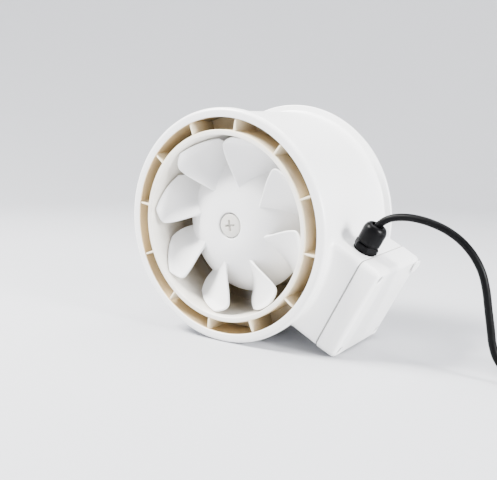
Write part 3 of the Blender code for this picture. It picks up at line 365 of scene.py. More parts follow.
def outline(half_back, half_up, corner, steps=9, along=20):
    """A rounded rectangle as places and outward directions in (back, up)."""
    places, ways = [], []
    for quarter, (a, b) in enumerate(((1, 1), (-1, 1), (-1, -1), (1, -1))):
        swing = np.radians(np.linspace(0.0, 90.0, steps) + 90.0 * quarter)
        way = np.stack([np.cos(swing), np.sin(swing)], axis=1)
        places.append(np.array([a * (half_back - corner), b * (half_up - corner)]) + corner * way)
        ways.append(way)
    made_places, made_ways = [], []
    for k in range(4):
        made_places.append(places[k])
        made_ways.append(ways[k])
        start, end = places[k][-1], places[(k + 1) % 4][0]
        step = np.linspace(0.0, 1.0, along + 2)[1:-1, None]
        made_places.append(start + (end - start) * step)
        made_ways.append(np.repeat(ways[k][-1:], along, axis=0))
    return np.concatenate(made_places), np.concatenate(made_ways)


def plate(shape, half_thickness, edge, place):
    """A convex flat outline given two faces and a rounded rim; place(outline, thickness) puts it in the world.

    The rim is carried round the outline: a quarter circle in, half a thickness across, a quarter circle back.
    """
    shape = np.asarray(shape, float)
    forward = np.roll(shape, -1, axis=0) - np.roll(shape, 1, axis=0)
    normal = np.stack([forward[:, 1], -forward[:, 0]], axis=1)
    normal /= np.linalg.norm(normal, axis=1)[:, None]
    middle = shape.mean(axis=0)
    if ((shape - middle) * normal).sum() < 0:
        normal = -normal
    in_by, up_by = edge * (1 - np.sin(quarter(4))), edge * (1 - np.cos(quarter(4)))
    inward = np.concatenate([in_by, up_by])
    level = np.concatenate([up_by - half_thickness, half_thickness - in_by])
    rows = [place(shape - normal * i, np.full(len(shape), t)) for i, t in zip(inward, level)]
    centres = [place(np.repeat(middle[None], len(shape), axis=0), np.full(len(shape), t))
               for t in (-half_thickness, half_thickness)]
    return grid(np.stack([centres[0]] + rows + [centres[1]]))


def swept(route, section):
    """A closed section of (across, over) points carried along a closed route of places and two directions."""
    places, across, over = route
    points = places[:, None] + across[:, None] * section[None, :, :1] + over[:, None] * section[None, :, 1:]
    return grid(points, rows_meet=True)


def smooth_step(value):
    value = np.clip(value, 0.0, 1.0)
    return value * value * (3 - 2 * value)


def crossed(x, y, arm, width, depth):
    """Depth of a cross-shaped recess at (x, y): full along both arms, falling off smoothly to their edges."""
    def bar(a, b):
        inside = np.minimum((width / 2 - np.abs(a)) / (width * 0.35), (arm - np.abs(b)) / (width * 0.5))
        return smooth_step(inside)
    return depth * np.maximum(bar(x, y), bar(y, x))


def cross_head(origin, axis, radius, height, crown, arm, width, depth, turn=0.0, side=0.4, sides=96, rings=42):
    """A screw head: a shallow crown with a cross-shaped recess, a rounded shoulder and a straight side.

    height above the seat = height - crown (r / radius)^2 - recess(x, y), then a quarter circle to the side.
    """
    first, second = sideways(axis)
    shoulder = side * min(height, radius * 0.4)
    r = np.linspace(0.0, radius - shoulder, rings)[:, None]
    angle = np.linspace(0.0, math.tau, sides, endpoint=False)[None, :]
    x, y = r * np.cos(angle + turn), r * np.sin(angle + turn)
    top = height - crown * (r / radius) ** 2 - crossed(x, y, arm, width, depth)
    swing = quarter(7)[1:, None] + 0.0 * angle
    rim = radius - shoulder + shoulder * np.sin(swing)
    edge = height - crown * ((radius - shoulder) / radius) ** 2
    fall = edge - shoulder * (1 - np.cos(swing))
    r_all = np.concatenate([r + 0.0 * angle, rim, rim[-1:], 0.0 * rim[-1:]])[..., None]
    level = np.concatenate([top, fall, 0.0 * rim[-1:], 0.0 * rim[-1:]])[..., None]
    angle = angle[..., None]
    points = origin + np.asarray(axis) * level + r_all * (first * np.cos(angle) + second * np.sin(angle))
    return grid(points)


def screw(seat, axis, size, crown, cross, shank, turn, **detail):
    """A crossed head of size (radius, height) on its seat, and a shank of (radius, start, end)."""
    wide, start, end = shank
    body = turned([(0.0, start), (wide, start), (wide, end), (0.0, end)], seat, axis, sides=20, closed=False)
    return [cross_head(seat, axis, *size, crown, *cross, turn=turn, **detail), body]


# ---- pieces


def make_mesh(name, surfaces, outward=True):
    """One mesh from several surfaces, its doubles merged and its faces turned outwards."""
    offset, places, faces = 0, [], []
    for points, quads in surfaces:
        places.append(points)
        faces.append(quads + offset)
        offset += len(points)
    mesh = bpy.data.meshes.new(name)
    mesh.from_pydata(np.concatenate(places).tolist(), [], np.concatenate(faces).tolist())
    work = bmesh.new()
    work.from_mesh(mesh)
    bmesh.ops.remove_doubles(work, verts=work.verts, dist=2e-6)
    bmesh.ops.dissolve_degenerate(work, edges=work.edges, dist=1e-7)
    if outward:
        bmesh.ops.recalc_face_normals(work, faces=work.faces)
    work.to_mesh(mesh)
    work.free()
    return mesh


def make_piece(name, surfaces, finish, replaces=(), body="root", sharp=40.0, inner=None):
    """One object from several surfaces, its finish as its first material.

    inner is (finish, test): faces whose middle, as (out, back, up), passes the test take that finish.
    """
    piece = bpy.data.objects.new(name, make_mesh(name, surfaces))
    mesh = piece.data
    mesh.materials.append(MATERIALS[finish])
    if inner is not None:
        mesh.materials.append(MATERIALS[inner[0]])
        middles = np.empty(len(mesh.polygons) * 3)
        mesh.polygons.foreach_get("center", middles)
        local = (middles.reshape(-1, 3) - FRONT) @ AXES.T
        mesh.polygons.foreach_set("material_index", inner[1](local).astype(np.int32))
    shade_by_angle(mesh, sharp)
    show(piece)
    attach(piece, body)
    if replaces:
        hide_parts(*replaces)
    return piece


def shade_by_angle(mesh, sharp):
    mesh.shade_smooth()
    mesh.set_sharp_from_angle(angle=math.radians(sharp))


def show(thing):
    bpy.context.scene.collection.objects.link(thing)


def cut_away(piece, cutters):
    """Takes each cutter off the piece, the result kept as its mesh."""
    for surfaces in cutters:
        cutter = make_piece("cutter", surfaces, "white_plastic")
        modifier = piece.modifiers.new("Cut", "BOOLEAN")
        modifier.operation = "DIFFERENCE"
        modifier.object = cutter
        bpy.context.view_layer.update()
        shape = piece.evaluated_get(bpy.context.evaluated_depsgraph_get())
        cut = bpy.data.meshes.new_from_object(shape)
        piece.modifiers.remove(modifier)
        piece.data = cut
        bpy.data.objects.remove(cutter)


# ---- finishes

MATERIALS = {}


class Finish:
    """A Principled material with a short way to add and join nodes."""

    def __init__(self, name, colour, roughness, metallic=0.0, **sockets):
        self.material = bpy.data.materials.new(name)
        self.material.use_nodes = True
        self.material.diffuse_color = (*colour, 1.0)
        self.tree = self.material.node_tree
        self.shader = self.tree.nodes["Principled BSDF"]
        self.set(self.shader, {"Base Color": (*colour, 1.0), "Roughness": roughness, "Metallic": metallic,
                               **sockets})
        self.place = self.add("ShaderNodeTexCoord").outputs["Object"]
        self.height = None

    def set(self, node, values):
        for key, value in values.items():
            if isinstance(value, bpy.types.NodeSocket):
                self.tree.links.new(value, node.inputs[key])
            else:
                node.inputs[key].default_value = value

    def add(self, kind, values=None, **settings):
        node = self.tree.nodes.new(kind)
        for key, value in settings.items():
            setattr(node, key, value)
        self.set(node, values or {})
        return node

    def noise(self, scale, detail=4.0, rough=0.55, stretch=(1.0, 1.0, 1.0), turn=(0.0, 0.0, 0.0)):
        mapped = self.add("ShaderNodeMapping", {"Vector": self.place, "Scale": stretch, "Rotation": turn})
        values = {"Vector": mapped.outputs["Vector"], "Scale": scale, "Detail": detail, "Roughness": rough}
        return self.add("ShaderNodeTexNoise", values).outputs["Fac"]

    def spread(self, value, low, high, start=0.35, end=0.65):
        values = {"Value": value, "From Min": start, "From Max": end, "To Min": low, "To Max": high}
        return self.add("ShaderNodeMapRange", values).outputs["Result"]

    def over(self, base, value, second):
        """The base, a socket or four channels, with a second colour laid over it by value."""
        mix = self.add("ShaderNodeMix", data_type="RGBA")
        self.set(mix, {0: value, 6: base, 7: (*second, 1.0)})
        return mix.outputs[2]

    def tint(self, value, first, second, start=0.35, end=0.65):
        return self.over((*first, 1.0), self.spread(value, 0.0, 1.0, start, end), second)

    def down_axis(self, origin=None):
        """Object coordinates turned so that X runs back along the fan's axis, from origin if one is given."""
        turn = Vector(BACK).rotation_difference(Vector((1.0, 0.0, 0.0)))
        values = {"Vector": self.place, "Rotation": turn.to_euler()}
        if origin is not None:
            values["Location"] = -(turn @ Vector(origin))
        return self.add("ShaderNodeMapping", values).outputs["Vector"]

    def bump(self, value, height, strength=1.0):
        values = {"Height": value, "Distance": height, "Strength": strength}
        node = self.add("ShaderNodeBump", values)
        if self.height is not None:
            self.tree.links.new(self.height, node.inputs["Normal"])
        self.height = node.outputs["Normal"]
        self.set(self.shader, {"Normal": self.height})

    def edges(self, low=0.51, high=0.56):
        """From 0 on flat stretches to 1 on the sharpest outer edges."""
        return self.spread(self.add("ShaderNodeNewGeometry").outputs["Pointiness"], 0.0, 1.0, low, high)


def shade(colour, factor):
    return tuple(min(1.0, channel * factor) for channel in colour)


def moulded(name, base, roughness, grain, wear, warmth=0.985, coat=0.0):
    """Injection-moulded plastic: faint flow clouds, fine spark grain, polished edges and a film of dust."""
    made = Finish(name, base, roughness, **{"Coat Weight": coat, "Coat Roughness": 0.2, "IOR": 1.5})
    clouds = made.noise(9.0, detail=3.0)
    flow = made.noise(38.0, detail=5.0, stretch=(1.0, 0.35, 1.0))
    dust = made.noise(260.0, detail=6.0, rough=0.7)
    aged = tuple(a * b for a, b in zip(base, (warmth, warmth - 0.006, warmth - 0.02)))
    tone = made.tint(clouds, base, aged)
    tone = made.over(tone, made.spread(dust, 0.0, 0.05, 0.55, 0.8), shade(base, 0.82))
    tone = made.over(tone, made.spread(made.edges(), 0.0, 0.3 * wear), shade(base, 1.12))
    made.set(made.shader, {"Base Color": tone})
    gloss = made.spread(flow, roughness - 0.035, roughness + 0.05)
    smooth = made.add("ShaderNodeMath", {0: gloss, 1: made.spread(made.edges(), 1.0, 1.0 - 0.25 * wear)},
                      operation="MULTIPLY")
    made.set(made.shader, {"Roughness": smooth.outputs[0]})
    made.bump(made.noise(2100.0, detail=2.0), grain)
    made.bump(made.noise(55.0, detail=2.0), grain * 1.6)
    return made


PAINTED_SHADE_IN, PAINTED_SHADE_OUT = (0.002, 0.045), (0.085, 0.108)  # depths over which the painted shade deepens into the cavity, then lifts again towards the rear


def plastic_with_painted_cavity_shade(name, base, deep_shade_colour, roughness, grain):
    """Unpainted plastic with painted shade: darker and warmer the deeper it lies in the casing, seen from either
    end.
    """
    made = moulded(name, base, roughness, grain, 0.1)
    depth = made.add("ShaderNodeSeparateXYZ", {0: made.down_axis(FRONT)}).outputs["X"]
    # noise that makes the edge of the painted shade uneven
    drift = made.spread(made.noise(30.0), -0.006, 0.006)
    uneven = made.add("ShaderNodeMath", {0: depth, 1: drift}, operation="ADD")
    before = made.shader.inputs["Base Color"].links[0].from_socket
    inward = made.spread(uneven.outputs[0], 0.0, 1.0, *PAINTED_SHADE_IN)
    onward = made.spread(depth, 1.0, 0.0, *PAINTED_SHADE_OUT)
    # painted shade: rises past the front depths and falls off again near the rear, laid over the plastic's own
    # tone
    painted_depth_shade = made.add("ShaderNodeMath", {0: inward, 1: onward}, operation="MULTIPLY").outputs[0]
    made.set(made.shader, {"Base Color": made.over(before, painted_depth_shade, deep_shade_colour)})
    return made


def metal(name, base, roughness, scale, stretch, grain, tarnish):
    """Bare metal: tool marks along one direction and patches that are a little duller."""
    made = Finish(name, base, roughness, 1.0)
    marks = made.noise(scale, detail=6.0, stretch=stretch)
    patches = made.noise(120.0, detail=4.0)
    made.set(made.shader, {"Base Color": made.tint(patches, base, tarnish),
                           "Roughness": made.spread(marks, roughness - 0.08, roughness + 0.12)})
    made.bump(marks, grain)
    return made


def banded(name, base, dark, spacing, roughness, metallic, depth):
    """Thin sheets or wires side by side along the fan's axis: a wave in depth, dark in the grooves."""
    made = Finish(name, base, roughness, metallic)
    wave = made.add("ShaderNodeTexWave", {"Vector": made.down_axis(), "Scale": 0.314 / spacing,
                                          "Distortion": 0.6, "Detail": 2.0, "Detail Scale": 3.0})
    bands = wave.outputs["Fac"]
    made.set(made.shader, {"Base Color": made.tint(bands, dark, base, 0.05, 0.5),
                           "Roughness": made.spread(made.noise(90.0), roughness - 0.06, roughness + 0.1)})
    made.bump(bands, depth)
    return made


def black_plastic(name, base, roughness, grain, coat=0.0):
    """Black nylon or rubber: a fine matte grain, a lighter film on the edges and faint handling marks."""
    made = Finish(name, base, roughness,
                  **{"Specular IOR Level": 0.07, "Coat Weight": coat, "Coat Roughness": 0.3})
    marks = made.noise(70.0, detail=5.0)
    tone = made.tint(marks, shade(base, 0.8), shade(base, 1.5))
    tone = made.over(tone, made.spread(made.edges(), 0.0, 0.5), shade(base, 2.6))
    made.set(made.shader, {"Base Color": tone,
                           "Roughness": made.spread(marks, roughness - 0.06, roughness + 0.09)})
    made.bump(made.noise(1700.0, detail=3.0), grain)
    made.bump(made.noise(240.0, detail=2.0), grain * 1.5)
    return made


def make_finishes(settings):
    grain, wear = settings.grain, settings.wear
    white, cream, tan, rib, cap, black = (
        tuple(getattr(settings, key)) for key in ("white", "cream", "tan", "rib", "cap", "black"))
    made = {
        "white_plastic": moulded("white_plastic", white, 0.34, grain, wear, coat=0.12),
        "impeller_plastic": moulded("impeller_plastic", white, 0.36, grain * 0.7, wear, coat=0.08),
        "cap_plastic": moulded("cap_plastic", cap, 0.42, grain, wear),
        # these three lay painted shade, a dark copy of the tan, over the cavity's depths
        "cream_plastic": plastic_with_painted_cavity_shade("cream_plastic", cream, shade(tan, 0.3), 0.4, grain),
        "rib_plastic": plastic_with_painted_cavity_shade("rib_plastic", rib, shade(tan, 0.4), 0.4, grain),
        "casing_inside": plastic_with_painted_cavity_shade("casing_inside", tan, shade(tan, 0.32), 0.46, grain),
        "cream_cover": moulded("cream_cover", shade(cream, 0.98), 0.4, grain, 0.2),
        "black_nylon": black_plastic("black_nylon", black, 0.34, 0.00006, coat=0.02),
        "black_rubber": black_plastic("black_rubber", shade(black, 1.15), 0.62, 0.0001),
        "cord_sheath": black_plastic("cord_sheath", black, 0.4, 0.00005),
        "grey_rubber": moulded("grey_rubber", (0.4, 0.4, 0.39), 0.7, grain * 2, 0.0),
        "terminal_plastic": moulded("terminal_plastic", (0.5, 0.51, 0.5), 0.5, grain, 0.2),
        "steel": metal("steel", (0.62, 0.62, 0.61), 0.3, 420.0, (1.0, 6.0, 1.0), 0.00002, (0.5, 0.5, 0.49)),
        "aluminium": metal("aluminium", (0.7, 0.71, 0.72), 0.42, 900.0, (1.0, 1.0, 1.0), 0.00006,
                           (0.6, 0.61, 0.62)),
        "brass": metal("brass", (0.7, 0.52, 0.22), 0.28, 600.0, (1.0, 1.0, 5.0), 0.00002, (0.5, 0.36, 0.16)),
        "electrical_steel": banded("electrical_steel", (0.3, 0.31, 0.33), (0.06, 0.06, 0.07), 0.0005, 0.42, 0.9,
                                   0.0001),
        "copper_winding": banded("copper_winding", (0.55, 0.2, 0.07), (0.16, 0.05, 0.02), 0.0006, 0.32, 0.7,
                                 0.0002),
    }
    MATERIALS.update({key: finish.material for key, finish in made.items()})


def dress_node(node, finish):
    """Gives a CAD node that stays in view its finish."""
    held = frame["nodes"][node]
    held.data.materials.clear()
    held.data.materials.append(MATERIALS[finish])


# ---- casing and sleeve


def casing_radius(c, depth):
    """Outer radius of the casing's body: it falls by the draft from the lip's rounding to the flange."""
    run = (c.body_length - c.flange_thickness) - c.lip_round
    return c.radius - c.body_step - c.draft * np.clip((depth - c.lip_round) / run, 0.0, 1.0)


def casing_profile(c):
    """Closed (radius, depth) outline: lip, tapered outside, flange with its root fillet, and the inner wall."""
    rear = c.radius - c.body_step - c.draft
    flange = rear + c.flange_step
    body = c.lip_depth + c.lip_slope
    return rounded([
        (c.radius - c.lip_width, 0.0, 0.0007),
        (c.radius, 0.0, c.lip_round),
        (c.radius, c.lip_depth, 0.0022),
        (float(casing_radius(c, body)), body, 0.004),
        (rear, c.body_length - c.flange_thickness, c.flange_root),
        (flange, c.body_length - c.flange_thickness, 0.0009),
        (flange, c.body_length, 0.0009),
        (rear - c.wall, c.body_length, 0.0005),
        (c.radius - c.body_step - c.wall, c.wall, 0.0012),
        (c.radius - c.lip_width, c.wall, 0.0006),
    ], pieces=7)


def base_surface(c, b):
    """The terminal box's base: walls carried round a rounded rectangle, flared at the foot to meet the casing.

    On each wall line the foot is a quarter circle: offset = foot (1 - sin a), height = foot (1 - cos a) above
    the casing's surface x = sqrt(radius^2 - up^2). The rim is flat at the parting plane.
    """
    places, ways = outline(LID_HALF_BACK - b.overhang, LID_HALF_UP - b.overhang, b.corner)
    rim, edge = PARTING - b.rim_gap, 0.0005
    swing = quarter(9)
    feet = [(b.foot, -0.0009)] + list(zip(b.foot * (1 - np.sin(swing)), b.foot * (1 - np.cos(swing))))
    feet.append((-b.wall, -0.0015))
    rows = []
    for offset, height in feet:
        spots = places + ways * offset
        depth = BOX_MIDDLE + spots[:, 0]
        surface = np.sqrt(casing_radius(c, depth) ** 2 - spots[:, 1] ** 2)
        rows.append(np.stack([surface + height, depth, spots[:, 1]], axis=1))
    curl = quarter(5)
    rims = [(-edge * (1 - np.cos(a)), rim - edge * (1 - np.sin(a))) for a in curl] + [(-b.wall, rim)]
    flat = []
    for offset, level in rims:
        spots = places + ways * offset
        flat.append(np.stack([np.full(len(spots), level), BOX_MIDDLE + spots[:, 0], spots[:, 1]], axis=1))
    return grid(at(np.stack(rows[:-1] + flat + rows[-1:])), rows_meet=True)


def make_casing_pieces(settings):
    c, b = settings.casing, settings.box
    lip_inside = c.radius - c.lip_width

    def within(local):
        """The inner wall and the lip's back, without the lip's front ring and its rounded inner rim."""
        radius, depth = np.hypot(local[:, 0], local[:, 2]), local[:, 1]
        inner_wall = (radius < casing_radius(c, depth) - c.wall * 0.6) & (depth > 0.0009)
        return inner_wall & ((radius > lip_inside + 0.0004) | (depth > 0.0012))

    rear = c.body_length - settings.rear.plate_recess - settings.rear.plate_thickness - 0.0003
    boss = [(0.0, rear - 0.018), (0.0044, rear - 0.018), (0.0046, rear - 0.0175), (0.0046, rear), (0.0, rear)]
    middles = [middle_of(f"housing_screw_{number}") for number in range(1, 5)]
    bosses = [turned(boss, at((middle[0], 0.0, middle[2])), BACK, sides=32, closed=False) for middle in middles]
    shell = [turned(casing_profile(c), sides=c.sides), base_surface(c, b)] + bosses
    make_piece("casing", shell, "white_plastic", ["outer_casing"], inner=("casing_inside", within))


def towards(angle):
    """Direction square to the fan's axis, at an angle from the terminal box."""
    return OUT * math.cos(angle) + UP * math.sin(angle)


def sleeve_profile(s):
    front = 0.0002
    outer = s.bore + s.wall
    return rounded([
        (s.bore, front, s.edge),
        (outer, front, s.edge),
        (outer, s.end, 0.0004),
        (s.bore, s.end, 0.0004),
    ], pieces=6)


def make_sleeve_pieces(settings):
    """The sleeve, and flat ribs from it to the casing, their front outer corner rounded to clear the lip."""
    s, c = settings.sleeve, settings.casing
    outer = s.bore + s.wall
    front = 0.0006
    corner = c.radius - c.lip_width + 0.001
    wall = c.radius - c.body_step - c.wall - 0.0007
    shape = rounded([
        (outer - 0.001, front, 0.0),
        (corner, front, s.rib_round),
        (corner, front + s.rib_round + 0.002, 0.002),
        (wall, front + s.rib_round + 0.006, 0.002),
        (wall - c.draft * 0.4, s.rib_end, 0.001),
        (outer - 0.001, s.rib_end, 0.0),
    ], pieces=9)
    ribs = []
    for angle in s.rib_first + math.tau * np.arange(s.rib_count) / s.rib_count:
        away, beside = towards(angle), towards(angle + math.pi / 2)

        def place(spots, level, away=away, beside=beside):
            return FRONT + spots[:, :1] * away + spots[:, 1:] * BACK + level[:, None] * beside

        ribs.append(plate(shape, s.rib_thickness / 2, 0.0004, place))
    rear = s.web_depth + s.web_thickness
    web = turned(rounded([(outer - 0.001, s.web_depth, 0.0), (wall - 0.0003, s.web_depth, 0.0004),
                          (wall - 0.0003, rear, 0.0004), (outer - 0.001, rear, 0.0)]), sides=c.sides)

    def outside(local):
        return np.hypot(local[:, 0], local[:, 2]) > outer - 0.0008

    make_piece("inlet_sleeve_skin", [turned(sleeve_profile(s), sides=c.sides), web] + ribs, "cream_plastic",
               ["inlet_sleeve"], inner=("rib_plastic", outside))


# ---- impeller


def hub_depth(i, radius):
    """Depth of the hub's outer surface: nose + (rear - nose) share^2.3, share from nose to rear edge."""
    part = np.clip(radius - i.nose_radius, 0.0, None) / (i.hub_radius - i.nose_radius)
    return i.nose_depth + (i.hub_rear - 0.0008 - i.nose_depth) * part ** 2.3


def hub_profile(i):
    radii = np.linspace(i.nose_radius, i.hub_radius, 40)
    outside = np.stack([radii, hub_depth(i, radii)], axis=1)
    inner = np.linspace(i.hub_radius - 0.0055, 0.0148, 24)
    step = 0.0005
    slope = (hub_depth(i, inner + step) - hub_depth(i, inner - step)) / (2 * step)
    inside = np.stack([inner, hub_depth(i, inner) + i.hub_wall * np.sqrt(1 + slope ** 2)], axis=1)
    lip = rounded([
        (0.0031, i.recess_floor, 0.0),
        (i.recess_radius, i.recess_floor, 0.0008),
        (i.recess_radius, i.nose_depth, 0.0009),
        (i.nose_radius + 0.002, i.nose_depth, 0.0),
    ], closed=False)
    back = rounded([
        (i.hub_radius, i.hub_rear - 0.0008, 0.0),
        (i.hub_radius, i.hub_rear, 0.0005),
        (i.hub_radius - i.hub_wall, i.hub_rear, 0.0005),
        tuple(inside[0]) + (0.0,),
    ], closed=False)
    boss = [(0.0105, inside[-1][1] + 0.002), (0.0105, i.hub_rear - 0.003), (0.0073, i.hub_rear - 0.003),
            (0.0073, i.recess_floor + 0.0021), (0.0031, i.recess_floor + 0.0021)]
    return np.concatenate([lip[:-1], outside, back[1:-1], inside, boss])


# Leading edge by millimetres out from its root: degrees from the terminal box, and depth
LEADING_ANGLE = (124.31, 0.7745, -0.0111)
LEADING_DEPTH = (0.01623, -0.0003334, 0.0000025)
CURL_LENGTH, CURL_ANGLE, CURL_DEPTH = 0.01, 9.6, 0.0024
# Trailing edge: degrees and depth at the root, and how much each changes up to the tip
TRAILING_ANGLE, TRAILING_SWEEP = 98.2, 6.5
TRAILING_DEPTH, TRAILING_RISE = 0.0396, 0.0156
TIP_BOW = 12.2  # four times the degrees that the tip's middle is bowed
BLADE_HEIGHT, BLADE_SPAN, FLARE_REACH = 0.03, 0.042, 0.0024
ROOT_WIDTH, WIDENING = 0.030, 0.022


def leading_edge(i, v):
    """(radius, degrees, depth) up the leading edge: parabolas in millimetres out, the last 10 mm curled back."""
    radius = i.blade_root + (i.blade_tip - i.blade_root) * v
    out = (radius - i.blade_root) * 1000
    curl = np.clip((radius - (i.blade_tip - CURL_LENGTH)) / CURL_LENGTH, 0.0, None) ** 3
    angle = LEADING_ANGLE[0] + LEADING_ANGLE[1] * out + LEADING_ANGLE[2] * out ** 2 - CURL_ANGLE * curl
    depth = LEADING_DEPTH[0] + LEADING_DEPTH[1] * out + LEADING_DEPTH[2] * out ** 2 - CURL_DEPTH * curl
    return np.stack(np.broadcast_arrays(radius, angle, depth))


def trailing_edge(i, v):
    root = i.hub_radius - 0.001
    radius = root + (i.blade_tip - root) * v
    angle, depth = TRAILING_ANGLE + TRAILING_SWEEP * v ** 2, TRAILING_DEPTH - TRAILING_RISE * v
    return np.stack(np.broadcast_arrays(radius, angle, depth))


def blade_sheet(i, u, v):
    """Middle surface of a blade as (radius, degrees, depth), a Coons patch between its four edges.

    It is the mean of edge to edge both ways less the corners: u runs from the leading to the trailing edge, v
    from the hub to the tip. Near v = 0 it sinks into the hub's wall.
    """
    start, end = leading_edge(i, np.zeros_like(u)), trailing_edge(i, np.zeros_like(u))
    root = start + (end - start) * u
    root[2] = hub_depth(i, root[0])
    first, last = leading_edge(i, np.ones_like(u)), trailing_edge(i, np.ones_like(u))
    tip = first + (last - first) * u
    tip[1] -= TIP_BOW * u * (1 - u)
    edges = (1 - u) * leading_edge(i, v) + u * trailing_edge(i, v) + (1 - v) * root + v * tip
    corners = (1 - u) * ((1 - v) * start + v * first) + u * ((1 - v) * end + v * last)
    radius, angle, depth = edges - corners
    sink = 0.0014 * (1 - v) ** 8
    return radius - sink, np.radians(angle), depth + sink


def blade_surface(i, number):
    """Blade number k: its middle surface moved half a thickness both ways along its normal.

    Towards the leading, trailing and tip edges the half thickness falls as a quarter circle, so they are round.
    At the hub it grows by the flare, exp(-distance / 2.4 mm), which makes the soft foot of a moulding.
    """
    half = i.blade_thickness / 2
    swing = quarter(6)
    into = half * (1 - np.cos(swing))
    v = np.concatenate([np.linspace(0.0, 1.0, 44) ** 1.25 * (1 - half / BLADE_HEIGHT),
                        1 - into[::-1][1:] / BLADE_HEIGHT])
    v_fall = np.concatenate([np.ones(44), np.sin(swing)[::-1][1:]])
    width = ROOT_WIDTH + WIDENING * v
    near = into[None, :] / width[:, None]
    inner = np.linspace(0.0, 1.0, 34)[None, 1:-1]
    middle = near[:, -1:] + (1 - 2 * near[:, -1:]) * inner
    u = np.concatenate([near, middle, 1 - near[:, ::-1]], axis=1)
    u_fall = np.concatenate([np.sin(swing), np.ones(inner.shape[1]), np.sin(swing)[::-1]])
    v = np.repeat(v[:, None], u.shape[1], axis=1)

    def point(u, v):
        radius, angle, depth = blade_sheet(i, u, v)
        angle = angle + i.rest + math.tau * number / i.blades
        return np.stack([radius * np.cos(angle), depth, radius * np.sin(angle)], axis=-1)

    step = 0.004
    spots = point(u, v)
    u_low, u_high = np.clip(u - step, 0.0, 1.0), np.clip(u + step, 0.0, 1.0)
    v_low, v_high = np.clip(v - step, 0.0, 1.0), np.clip(v + step, 0.0, 1.0)
    normal = np.cross(point(u_high, v) - point(u_low, v), point(u, v_high) - point(u, v_low))
    normal /= np.maximum(np.linalg.norm(normal, axis=-1, keepdims=True), 1e-12)
    flare = i.root_flare * np.exp(-v * BLADE_SPAN / FLARE_REACH)
    thick = ((half + flare) * u_fall[None, :] * v_fall[:, None])[..., None]
    loop = np.concatenate([spots + normal * thick, (spots - normal * thick)[:, ::-1]], axis=1)
    closing = np.concatenate([spots[:1], spots[:1, ::-1]], axis=1)
    return grid(at(np.concatenate([closing, loop])))


def make_impeller_pieces(settings):
    i = settings.impeller
    surfaces = [turned(hub_profile(i), sides=192)] + [blade_surface(i, number) for number in range(i.blades)]
    make_piece("impeller_skin", surfaces, "impeller_plastic", ["impeller"], "rotor", sharp=50.0)
    seat = i.recess_floor - 0.0011
    height = seat - (i.nose_depth - 0.0002)
    head = cross_head(FRONT + BACK * seat, -BACK, i.cap_radius, height, crown=0.0009, arm=0.0052, width=0.0023,
                      depth=0.003, turn=i.cross_turn, side=0.34, sides=160, rings=90)
    start, end, core = seat - 0.001, i.recess_floor - 0.0029, 0.0028
    inside = turned([(0.0, start), (core, start), (core, end), (0.0, end)], sides=24, closed=False)
    make_piece("cap_screw", [head, inside], "cap_plastic", ["impeller_cap_screw"], "rotor")


# ---- terminal box lid and screws


def lid_block(half_back, half_up, corner, rows):
    """A block with (inset, level) rows carried round its outline, closed in the middle at both ends."""
    places, ways = outline(half_back, half_up, corner, along=6)
    made = []
    for inset, level in rows:
        spots = places - ways * inset
        made.append(np.stack([np.full(len(spots), level), BOX_MIDDLE + spots[:, 0], spots[:, 1]], axis=1))
    for place, level in ((0, rows[0][1]), (len(made) + 1, rows[-1][1])):
        made.insert(place, np.tile([level, BOX_MIDDLE, 0.0], (len(places), 1)))
    return grid(at(np.stack(made)))


def post_places(b):
    """The lid screws' places as (back, up)."""
    inset = b.overhang + b.post_inset
    half_back, half_up = LID_HALF_BACK - inset, LID_HALF_UP - inset
    return [(BOX_MIDDLE + a * half_back, c * half_up) for a in (-1, 1) for c in (-1, 1)]


LID_SHARP = 26.0  # degrees between faces past which the lid's edges shade as sharp


def make_lid_pieces(settings):
    b = settings.box
    face, rim = LID_HIGH[0], PARTING + b.rim_gap
    shoulder = [(b.lid_draft + b.lid_round * (1 - np.cos(a)), face - b.lid_round * (1 - np.sin(a)))
                for a in quarter(9)]
    inset = b.lid_draft + b.lid_round
    rows = [(0.0015, rim), (0.0004, rim), (0.0, rim + 0.0004)] + shoulder
    rows += [(inset + 0.0003, face), (inset + 0.0006, face)]
    block = lid_block(LID_HALF_BACK, LID_HALF_UP, b.corner + b.overhang, rows)
    lid = make_piece("lid", [block], "white_plastic", ["terminal_box_lid"], sharp=LID_SHARP)
    wall = b.wall + b.overhang
    hollow = lid_block(LID_HALF_BACK - wall, LID_HALF_UP - wall, b.corner - 0.001,
                       [(0.0, rim - 0.004), (0.0, face - b.wall - 0.001), (0.001, face - b.wall)])
    lip, well, floor = b.well_radius + b.well_edge, b.well_radius, -0.0112
    hole = [(0.0, 0.002), (lip + 0.002, 0.002), (lip, 0.0), (well, -b.well_edge), (well, -b.wall - 0.003),
            (0.0, -b.wall - 0.003)]
    tube = rounded([
        (well, -b.well_edge - 0.0002, 0.0), (well + 0.0009, -b.well_edge - 0.0009, 0.0),
        (well + 0.0009, floor - 0.0013, 0.0), (0.0, floor - 0.0013, 0.0), (0.0, floor, 0.0),
        (well, floor, 0.0004),
    ], pieces=3, closed=False)
    tube = np.concatenate([tube, tube[:1]])
    spots = [at((face, depth, up)) for depth, up in post_places(b)]
    cut_away(lid, [[hollow]] + [[turned(hole, spot, OUT, sides=64, closed=False)] for spot in spots])
    shade_by_angle(lid.data, LID_SHARP)
    wells = [turned(tube, spot, OUT, sides=64, closed=False) for spot in spots]
    make_piece("lid_wells", wells, "white_plastic")
    for number, (depth, up) in enumerate(post_places(b), 1):
        low, high = seen_along(f"lid_screw_{number}")
        height = 0.002
        made = screw(at((high[0] - height, depth, up)), OUT, (0.0027, height), 0.0004, (0.0015, 0.0008, 0.001),
                     (0.0013, 0.0005, low[0] - high[0] + height), 0.5 * number, sides=64, rings=30)
        make_piece(f"lid_screw_{number}_skin", made, "steel", [f"lid_screw_{number}"])


# ---- gland


